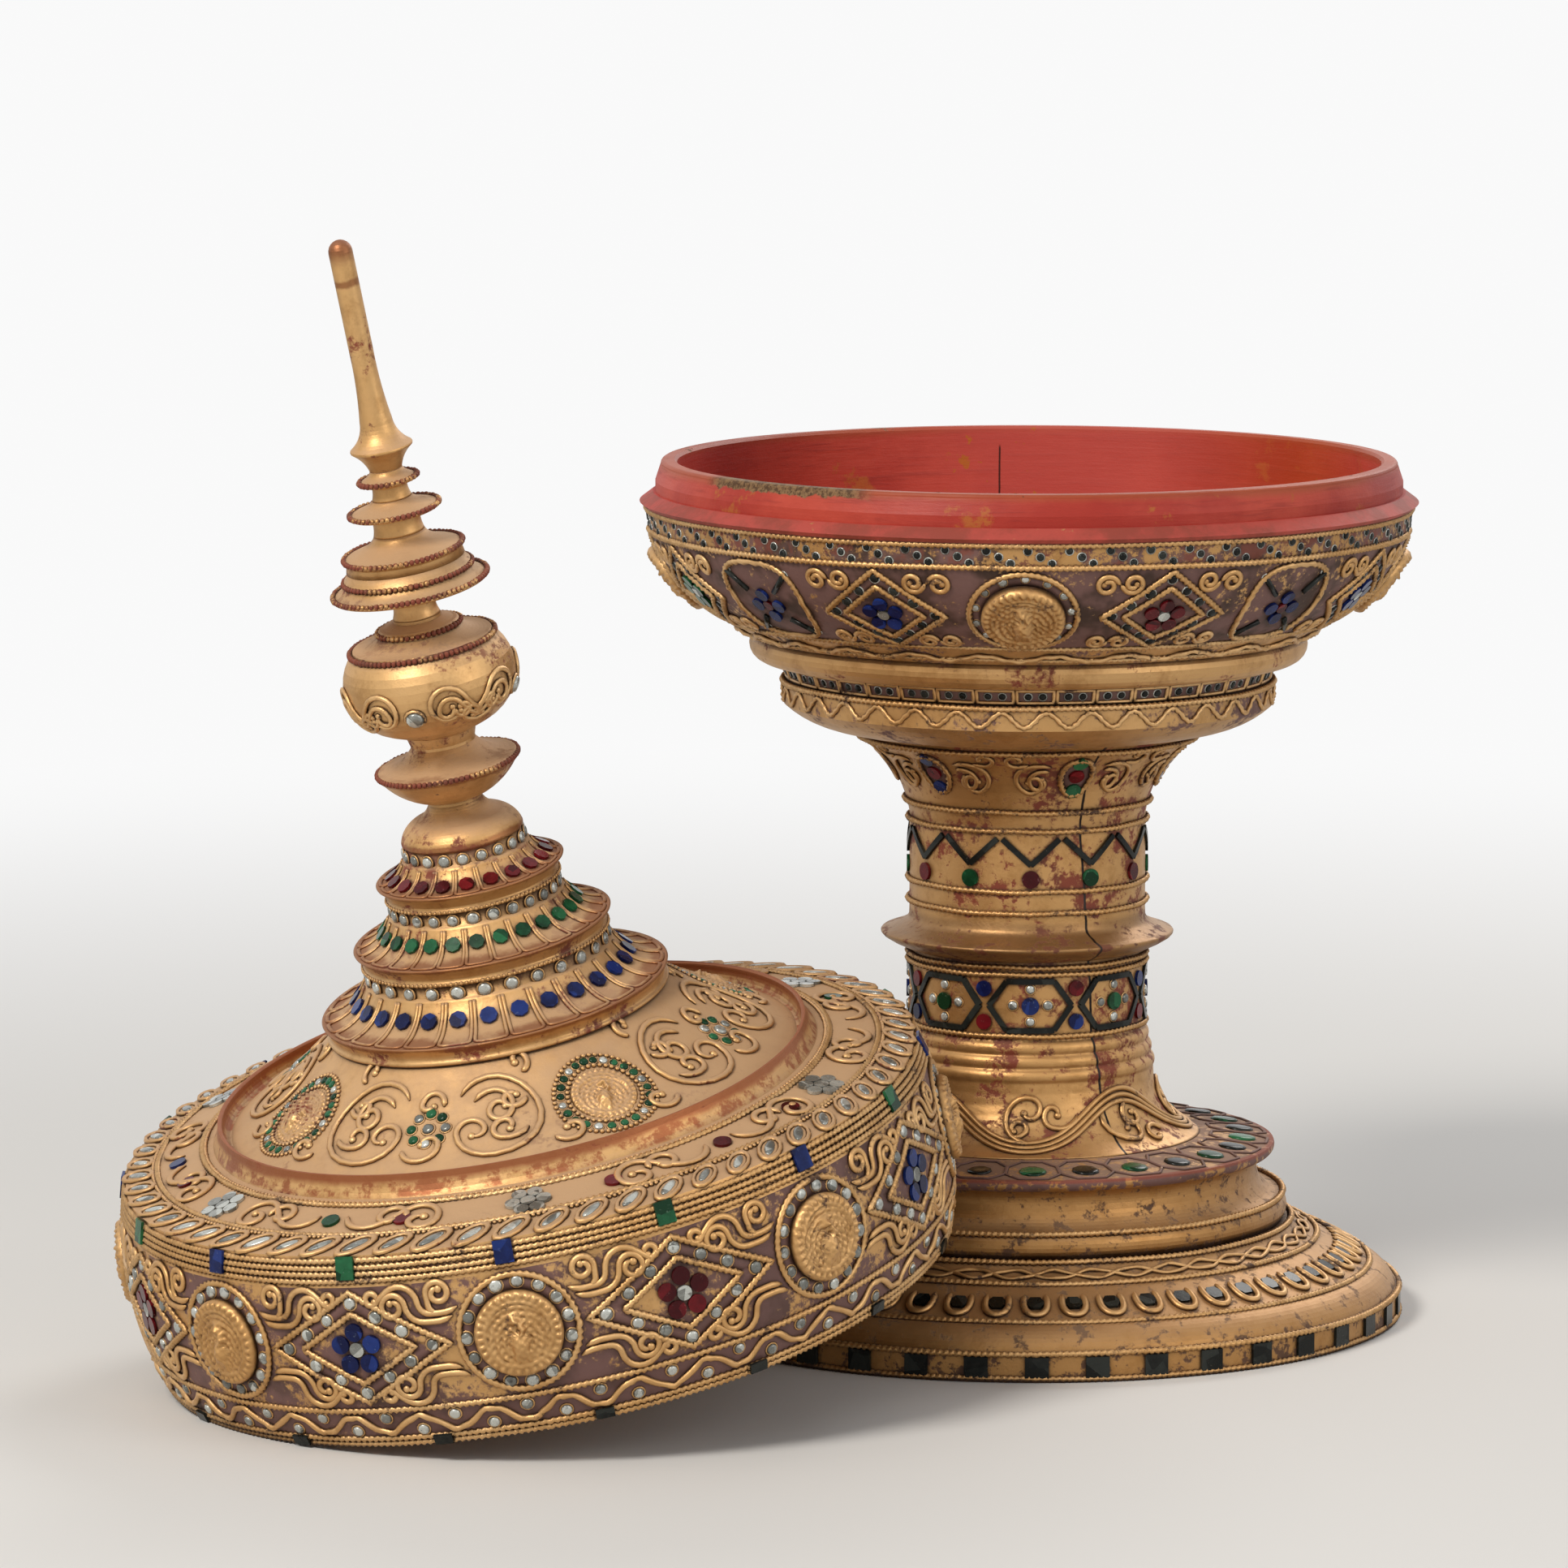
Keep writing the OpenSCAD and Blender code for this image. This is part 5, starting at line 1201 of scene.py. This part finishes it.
tiers = [
    {"name": "lower", "base": (59.5, 106.5), "rim": (62.0, 113.4), "neck": (42.5, 129.5), "petals": 28,
     "beads": False, "cord": 0.8, "stud": 2.2},
    {"name": "middle", "base": (42.5, 129.5), "rim": (46.0, 136.4), "neck": (29.5, 151.5), "petals": 26,
     "beads": True, "cord": 0.72, "stud": 2.0},
    {"name": "upper", "base": (29.5, 151.5), "rim": (33.5, 158.4), "neck": (20.8, 170.5), "petals": 20,
     "beads": True, "cord": 0.64, "stud": 1.9},
]
tierNeck = {"height": 4.5, "splay": 1.5, "proud": 0.4, "stud": 2.0}
tierPetal = {"half": 0.44, "straight": 0.38, "foot": 0.16, "dip": 0.13, "steps": 32}
tierBead = {"proud": 1.4, "rise": 1.0, "spacing": 1.9, "radius": 0.7}


def tierSide(base, rim):
    # From the roll at the foot of a tier up a hollow band to its sharp rim
    (r0, z0), (r1, z1) = base, rim
    roll = [(r0, z0), (r0 + 1.3, z0 + 0.4), (r0 + 1.6, z0 + 1.1), (r0 + 1.1, z0 + 1.8)]
    return roll + bent((r0 + 0.7, z0 + 2.2), (r1 - 0.2, z1 - 0.5), 0.5) + [(r1, z1), (r1 - 0.7, z1 + 0.3)]


def petalEdge(t):
    # Down one side of a petal, round its foot and up the other, as shares of its width and of the slope
    half, straight, foot = tierPetal["half"], tierPetal["straight"], tierPetal["foot"]
    if t < straight:
        return -half, 1 - t / straight * (1 - foot)
    if t > 1 - straight:
        return half, foot + (t - 1 + straight) / straight * (1 - foot)
    turn = (t - straight) / (1 - 2 * straight) * math.pi
    bow = math.copysign(abs(math.cos(turn)) ** 0.5, math.cos(turn))
    return -half * bow, foot - tierPetal["dip"] * math.sin(turn) ** 0.5


petalRidges = Relief("tierPetals", "cover", "spire", "gilded_wood")
neckStuds = StudSet("neckStuds", "cover")
edgeLines = []
for tier in tiers:
    slope = walls[tier["name"] + "Tier"]
    radius, neckTop = tier["neck"]
    neckFoot = neckTop - tierNeck["height"]
    collar = [(radius + tierNeck["splay"], neckFoot), (radius, neckFoot + 0.5), (radius, neckTop)]
    tierBody = Relief(tier["name"] + "TierBody", "cover", "spire", "gilded_wood")
    tierBody.turned(tierSide(tier["base"], tier["rim"]) + slope.outline + collar, 128)
    tierBody.build("tier_" + tier["name"])
    neckRadius = radius + tierNeck["proud"]
    neck = Wall("cover", [(neckRadius, neckFoot), (neckRadius, neckTop)])
    edge = [petalEdge(j / tierPetal["steps"]) for j in range(tierPetal["steps"] + 1)]
    step = 360 / tier["petals"]
    for k in range(tier["petals"]):
        petalRidges.tube([slope.at(step * (k + a), s * slope.length, 0.15) for a, s in edge], tier["cord"])
        neckStuds.add(neck, step * k, tierNeck["stud"], 0, 0, tier["stud"])
    if tier["beads"]:
        radius, foot = tier["base"]
        ring = hoopWall("cover", radius + tierBead["proud"], foot + tierBead["rise"])
        edgeLines.append(ring.around(1.0, 0.0, 1.0))
petalRidges.build()
neckStuds.build()
coverStuds.build()
beadLines("tierBeads", "cover", edgeLines, tierBead["spacing"], tierBead["radius"], "spire")
print("cover top laid")


# Spire: turned parasols, rope edges on the discs and scrolls on the bulb

spireRope = {"spacing": 1.9, "radius": 1.05}
spireEdges = [(25.0, 197.4), (25.8, 242.0), (27.3, 263.2), (22.7, 267.4), (21.0, 275.4), (15.8, 290.5),
              (10.2, 301.4), (14.8, 247.6)]


def dish(radius, height, thick=0.9):
    # The rounded rim of a parasol, from its underside to its top
    under = [(radius - 0.9, height - thick), (radius - 0.2, height - thick * 0.5)]
    return under + [(radius, height), (radius - 0.3, height + 0.5), (radius - 1.2, height + 0.6)]


parasols = {
    "first": (bent((8.5, 251.5), (8.0, 258.2), 0.7) + dish(27.8, 262.6)
              + bent((26.4, 263.3), (22.6, 266.6), 0.5) + [(22.3, 268.4), (21.2, 268.8), (20.9, 271.0)]),
    "second": [(20.9, 271.0), (20.4, 273.6)] + dish(21.5, 275.0) + bent((20.0, 275.7), (9.0, 282.0), 2.6),
    "third": (bent((9.0, 282.0), (8.6, 288.4), 0.4) + dish(16.3, 290.1)
              + bent((14.9, 290.8), (7.0, 294.5), 1.4)),
    "fourth": (bent((7.0, 294.5), (6.2, 299.4), 0.3) + dish(10.6, 301.1)
               + bent((9.2, 301.8), (5.7, 305.0), 0.7)),
}
for name, outline in parasols.items():
    parasol = Relief(name + "Parasol", "cover", "spire", "gilded_wood")
    parasol.turned(outline)
    parasol.build("parasol_" + name)
edgeLines = [hoopWall("cover", radius, height).around(1.0, 0.0, 1.0) for radius, height in spireEdges]
beadLines("spireRopes", "cover", edgeLines, spireRope["spacing"], spireRope["radius"], "wornRopes",
          "gilt_relief")

bulb = {"groups": 4, "start": -11, "cord": 1.0, "stud": 3.0, "studDrop": -3.4}
bulbCurls = [
    ((27.0, -5.5), 165, [(12, -45), (60, 2.9), (7, 60), (6, 180), (5, 60)]),
    ((27.0, -8.0), 168, [(14, -44), (60, 2.9), (4.2, 150), (2.6, 200)]),
    ((15.0, -2.0), 250, [(2.6, 240), (1.6, 120)]),
    ((26.0, -9.5), 175, [(20, -20), (2.8, -250), (1.6, -90)]),
]
bulbWall = walls["bulb"]
bulbMid = bulbWall.length * 0.5
bulbScrolls = Relief("bulbScrolls", "cover", "gilt_relief")
bulbStuds = StudSet("bulbStuds", "cover")
for k in range(bulb["groups"]):
    angle = bulb["start"] + 360 / bulb["groups"] * k
    for flip in (-1, 1):
        curlWork(bulbScrolls, bulbWall, angle, bulbMid, bulbCurls, bulb["cord"], (flip, 1))
    bulbStuds.add(bulbWall, angle, bulbMid, 0, bulb["studDrop"], bulb["stud"])
bulbScrolls.build()
bulbStuds.build()
setOn("coverCurlEnds", "cover", "boss", curlEnds["cover"], "gilt_relief")
print("spire laid")


# Foot: petals and chain, and the plate's cells and stones

foot = {"petals": 54, "petal": (6.3, 11.5), "petalMid": 0.44, "petalDrop": 6.0, "petalNarrow": 0.62,
        "petalTop": 0.92, "petalRise": 1.0, "petalTaper": 0.08, "cord": 1.35, "links": 22, "linkRise": 2.3,
        "linkCord": 0.85}
plate = {"cells": 26, "corners": [(9.4, 4.4), (4.6, 10.4), (-4.6, 10.4), (-9.4, 4.4)], "cord": 0.6,
         "stone": (4.6, 4.8, 1.6), "stoneMid": 0.45, "uneven": 0.1}
footRelief = Relief("footRelief", "pedestal", "oldRelief")
petalWall, chainWall, plateWall = walls["petals"], walls["chain"], walls["plate"]
half, rise = foot["petal"]
cup = []
for j in range(21):
    turn = math.pi * j / 20
    narrow = foot["petalNarrow"] + (1 - foot["petalNarrow"]) * math.sin(turn)
    height = rise * (foot["petalTop"] - math.sin(turn)) + foot["petalRise"]
    cup.append((-half * math.cos(turn) * narrow, height))
petalS = petalWall.length * foot["petalMid"] - foot["petalDrop"]
for k in range(foot["petals"]):
    path = petalWall.draw(360 / foot["petals"] * k, petalS, cup, 0.5)
    footRelief.tube(path, foot["cord"], foot["petalTaper"])
for flip in (-1, 1):
    links = waveLine(foot["links"], foot["linkRise"] * flip)
    footRelief.rope([chainWall.at(a, chainWall.length * 0.5 + y, 0.3) for a, y in links], foot["linkCord"])

cells = Relief("plateCells", "pedestal", "ground")
cell = polyLine(plate["corners"] + [(-x, -y) for x, y in plate["corners"]], 1.2)
stones = ([], [])
for k in range(plate["cells"]):
    angle = 360 / plate["cells"] * k
    cells.tube(plateWall.draw(angle, plateWall.length * 0.5, cell, 0.2), plate["cord"], closed=True)
    point, normal = plateWall.at(angle, plateWall.length * plate["stoneMid"])
    stones[k % 2].append((point, normal, compass(normal)[0], plate["stone"]))
for name, glass, node, spots in (("plateGreens", "green_glass", "plate_glass_green", stones[0]),
                                 ("plateDarks", "dark_glass", "plate_glass_clear", stones[1])):
    setOn(name, "pedestal", "stud", spots, glass, plate["uneven"], replaced=[node])
cells.build()
footRelief.build("foot_petal_cups")
print("foot laid")


# Stem: turned body with a sharp ring, scrolls on the flare and capital, studs in the hexagons

stemRing = [(43.5, 136.0), (46.0, 136.8), (50.0, 138.6), (53.0, 140.4), (53.9, 141.4), (54.0, 142.0),
            (53.6, 142.5), (50.0, 143.6), (46.0, 145.4), (44.3, 146.6), (43.6, 148.0), (43.5, 151.0)]
baluster = walls["baluster"].outline
below = [(r, z) for r, z in baluster if z < stemRing[0][1]]
above = [(r, z) for r, z in baluster if z > stemRing[-1][1]]
stemBody = Relief("stemBody", "pedestal", "stem", "gilded_wood")
stemBody.turned(below + stemRing + above, 128)
stemBody.build("stem")

flare = {"groups": 4, "low": -2, "high": 43, "cord": 1.1, "strands": (-2.4, 0.0, 2.4), "strandTurn": 20.5,
         "strandRise": 10.0, "strandCord": 1.05}
flareLow = [
    ((3.0, -8.0), 180, [(10.5, -100), (8, -95), (4, -160), (2.4, -90)]),
    ((-6.0, -5.0), -10, [(6, 60), (2.8, 190), (1.8, 90)]),
    ((20.0, 4.0), 250, [(8, -90), (4.4, -120), (2.4, -150)]),
]
flareHigh = [
    ((-11.0, 3.0), 270, [(12, 80), (4.5, 125), (2.4, 150)]),
    ((2.5, 7.2), 210, [(6, 72), (3.6, 140), (2, 120)]),
    ((15.0, -7.0), 100, [(3.8, 200), (2, 130)]),
]
stemScrolls = Relief("stemScrolls", "pedestal", "oldRelief")
flareWall = walls["flare"]
flareMid = flareWall.length * 0.5
for k in range(flare["groups"]):
    angle = 360 / flare["groups"] * k
    curlWork(stemScrolls, flareWall, angle + flare["low"], flareMid, flareLow, flare["cord"])
    curlWork(stemScrolls, flareWall, angle + flare["high"], flareMid, flareHigh, flare["cord"])
swings = waveLine(flare["groups"], flare["strandRise"], 40)
for aside in flare["strands"]:
    strand = [flareWall.at(a + flare["strandTurn"], flareMid + aside + y, 0.4) for a, y in swings]
    stemScrolls.tube(strand, flare["strandCord"], closed=True)

capital = {"groups": 6, "curls": 48, "ovals": 18, "mid": 0.54, "oval": (5.9, 8.9), "core": 0.02, "cord": 1.0,
           "ovalCord": 1.15}
capitalCurls = [
    ((17.5, 5.0), 150, [(9, 60), (7, 120), (4, 160), (2.4, 150)]),
    ((17.0, 2.6), 155, [(5, 150), (2.6, 200)]),
    ((9.5, 6.4), 200, [(14, -16), (3.2, -150), (2, -140)]),
]
cartouches = Relief("cartoucheGround", "pedestal", "ground")
capitalWall = walls["capital"]
capitalMid = capitalWall.length * capital["mid"]
oval = [(x * capital["oval"][0], y * capital["oval"][1]) for x, y in ringLine(1.0, 48)]
core = [(x * capital["core"], y * capital["core"]) for x, y in oval]
for k in range(capital["groups"]):
    angle = 360 / capital["groups"] * k
    for flip in (-1, 1):
        curlWork(stemScrolls, capitalWall, angle + capital["curls"], capitalMid, capitalCurls,
                 capital["cord"], (flip, 1))
    angle += capital["ovals"]
    stemScrolls.rope(capitalWall.draw(angle, capitalMid, oval, 0.3), capital["ovalCord"])
    cartouches.slab(*(capitalWall.draw(angle, capitalMid, edge, 0.2) for edge in (oval, core)))
cartouches.build()
stemScrolls.build("cartouche_rings")

hexagon = {"count": 8, "s": 12.9, "studs": ((6.4, 0), (-6.4, 0), (0, 6.0), (0, -6.0)), "stud": 1.7}
stemStuds = StudSet("stemStuds", "pedestal")
for k in range(hexagon["count"]):
    for x, y in hexagon["studs"]:
        stemStuds.add(walls["lowerShaft"], 360 / hexagon["count"] * k, hexagon["s"], x, y, hexagon["stud"])
stemStuds.build()
print("stem laid")


# Bowl: frieze of roundels, lozenges and panels, with the bands above and below it

bowlFrieze = {"start": -2.5, "motifs": 16, "lean": 0.1, "lozenge": (24.0, 20.0), "outer": 0.958,
              "inner": 0.63, "between": 0.80, "ring": 19.0, "disc": 14.9, "studs": 14, "ringStud": 1.5,
              "stud": 1.7, "cord": 1.15, "scroll": 1.1, "panel": (18.0, 18.6), "square": 3.0,
              "rod": (6.6, 14.2), "rodCord": 1.1, "panelStud": 1.5}
bowlTail = [(40, 3.6), (3.3, -190), (2.5, -150), (1.7, -150)]
bowlCurls = [((18.0, 14.6), heading, bowlTail) for heading in (50, 230)]
bowlWall = walls["frieze"]
bowlMid = bowlWall.length / 2
bowlFrames = Relief("bowlFrames", "pedestal", "gilt_relief")
bowlGround = Relief("bowlGround", "pedestal", "ground")
bowlScrolls = Relief("bowlScrolls", "pedestal", "gilt_relief")
bowlStuds = StudSet("bowlStuds", "pedestal")
bowlChips = StudSet("bowlChips", "pedestal")
rods = Relief("panelRods", "pedestal", "dark_glass", "dark_glass")
panel = panelLine(bowlFrieze["panel"], bowlFrieze["square"])
near, far = bowlFrieze["rod"]
discPlaces = []
for k in range(bowlFrieze["motifs"]):
    angle = bowlFrieze["start"] + 360 / bowlFrieze["motifs"] * k
    if k % 4 == 0:
        roundelSet(bowlFrames, bowlGround, bowlChips, bowlWall, angle, bowlMid, bowlFrieze)
        discPlaces.append((bowlWall, angle, bowlMid, bowlFrieze["lean"] * math.sin(5 * k)))
    elif k % 4 == 2:
        bowlFrames.rope(bowlWall.draw(angle, bowlMid, panel, frieze["lift"]), bowlFrieze["cord"])
        for x in (-1, 1):
            for y in (-1, 1):
                bowlStuds.add(bowlWall, angle, bowlMid, far * x, far * y, bowlFrieze["panelStud"])
                rod = [(near * x, near * y), (far * x, far * y)]
                rods.tube(bowlWall.draw(angle, bowlMid, rod, 0.6), bowlFrieze["rodCord"])
    else:
        lozengeSet(bowlFrames, bowlGround, bowlStuds, bowlWall, angle, bowlMid, bowlFrieze)
        for mirror in quarters:
            curlWork(bowlScrolls, bowlWall, angle, bowlMid, bowlCurls, bowlFrieze["scroll"], mirror)
roundelDiscs("bowlRoundels", "pedestal", discPlaces, ["bowl_roundels"],
             bowlFrieze["disc"] / roundel["radius"])

bowlBands = {"seatWave": (35, 2.7), "seatMid": 3.6, "seatCord": 0.95, "baseWave": (26, 1.9), "baseMid": 4.4,
             "baseCord": 1.0, "boxes": 39, "box": (6.6, 2.5), "boxCord": 0.85, "boxStuds": (-2.6, 2.6),
             "stud": 1.3, "triplets": 60, "triplet": ((-4.4, 2.2), (0, 0), (4.1, -2.3))}
seat, base, recess, rimBand = walls["seat"], walls["base"], walls["recess"], walls["studBand"]
bowlFrames.rope([seat.at(a, bowlBands["seatMid"] + y, 0.1) for a, y in waveLine(*bowlBands["seatWave"])],
                bowlBands["seatCord"])
bowlFrames.rope([base.at(a, bowlBands["baseMid"] + y, 0.5) for a, y in waveLine(*bowlBands["baseWave"])],
                bowlBands["baseCord"])
box = boxLine(bowlBands["box"], 1.5)
for k in range(bowlBands["boxes"]):
    angle = 360 / bowlBands["boxes"] * k
    bowlFrames.tube(recess.draw(angle, recess.length / 2, box, 0.1), bowlBands["boxCord"], closed=True)
    for x in bowlBands["boxStuds"]:
        bowlStuds.add(recess, angle, recess.length / 2, x, 0, bowlBands["stud"])
bowlFrames.build("bowl_lozenges", "bowl_roundel_rings", "bowl_panels")
bowlGround.build()
bowlScrolls.build()
rods.build()
bowlChips.build()
bowlStuds.build("dark_glass", "clear_glass")
rimStuds = StudSet("rimStuds", "pedestal")
for k in range(bowlBands["triplets"]):
    for x, y in bowlBands["triplet"]:
        rimStuds.add(rimBand, 360 / bowlBands["triplets"] * k, rimBand.length / 2, x, y, bowlBands["stud"])
rimStuds.build("dark_glass", "clear_glass")
setOn("pedestalCurlEnds", "pedestal", "boss", curlEnds["pedestal"], "oldRelief")
print("bowl laid")


# Floor, light and camera, in metres

stage = {"half": 40, "floor": rgb(0.80, 0.79, 0.77), "white": rgb(1.0, 1.0, 1.0), "glow": 0.95,
         "fade": (0.40, 1.60), "sky": rgb(0.92, 0.93, 0.95), "skyStrength": 0.32, "aim": (-0.05, -0.05, 0.2)}
half = stage["half"]
floorMesh = bpy.data.meshes.new("floor")
corners = [(-half, -half, 0), (half, -half, 0), (half, half, 0), (-half, half, 0)]
floorMesh.from_pydata(corners, [], [(0, 1, 2, 3)])
floor = bpy.data.objects.new("floor", floorMesh)
bpy.context.collection.objects.link(floor)
paper = Finish("paleFloor")
far = paper.ease(paper.vector("LENGTH", paper.place, out="Value"), *stage["fade"])
seen = paper.node("ShaderNodeLightPath", out="Is Camera Ray")
matte = paper.node("ShaderNodeBsdfPrincipled", {}, {"Base Color": stage["floor"], "Roughness": 0.8})
white = paper.node("ShaderNodeEmission", {}, {"Color": stage["white"], "Strength": stage["glow"]})
faded = paper.node("ShaderNodeMixShader", {}, {0: far * seen, 1: matte, 2: white})
paper.node("ShaderNodeOutputMaterial", {}, {"Surface": faded})
floorMesh.materials.append(paper.material)


def areaLight(name, place, size, power, colour):
    lamp = bpy.data.lights.new(name, "AREA")
    lamp.shape, lamp.size, lamp.energy, lamp.color = "DISK", size, power, colour
    light = bpy.data.objects.new(name, lamp)
    light.location = place
    light.rotation_euler = (Vector(stage["aim"]) - Vector(place)).to_track_quat("-Z", "Y").to_euler()
    bpy.context.collection.objects.link(light)


areaLight("keyLight", (-1.3, -1.6, 1.9), 0.9, 42, (1.0, 0.95, 0.88))
areaLight("fillLight", (1.8, -1.5, 1.1), 1.4, 10, (1.0, 0.97, 0.94))
areaLight("backLight", (0.8, 1.6, 1.6), 1.0, 14, (1.0, 0.97, 0.93))
world = bpy.data.worlds.new("studio")
bpy.context.scene.world = world
world.use_nodes = True
sky = Graph(world.node_tree)
seen = sky.node("ShaderNodeLightPath", out="Is Camera Ray")
for ray in ("Is Glossy Ray", "Is Transmission Ray"):
    seen = sky.math("MAXIMUM", seen, sky.node("ShaderNodeLightPath", out=ray))
soft = sky.node("ShaderNodeBackground", {}, {"Color": stage["sky"], "Strength": stage["skyStrength"]})
plain = sky.node("ShaderNodeBackground", {}, {"Color": stage["white"], "Strength": stage["glow"]})
around = sky.node("ShaderNodeMixShader", {}, {0: seen, 1: soft, 2: plain})
sky.node("ShaderNodeOutputWorld", {}, {"Surface": around})

view = {"place": (-0.0898, -3.0139, 0.6051), "pitch": -7.73, "lens": 189.45, "sensor": 36.0, "clip": 80}
lens = bpy.data.cameras.new("camera")
lens.lens, lens.sensor_width, lens.clip_end = view["lens"], view["sensor"], view["clip"]
camera = bpy.data.objects.new("camera", lens)
camera.location = view["place"]
camera.rotation_euler = (math.radians(90 + view["pitch"]), 0, 0)
bpy.context.collection.objects.link(camera)
bpy.context.scene.camera = camera
bpy.context.scene.view_settings.view_transform = "Standard"
print("stage set")
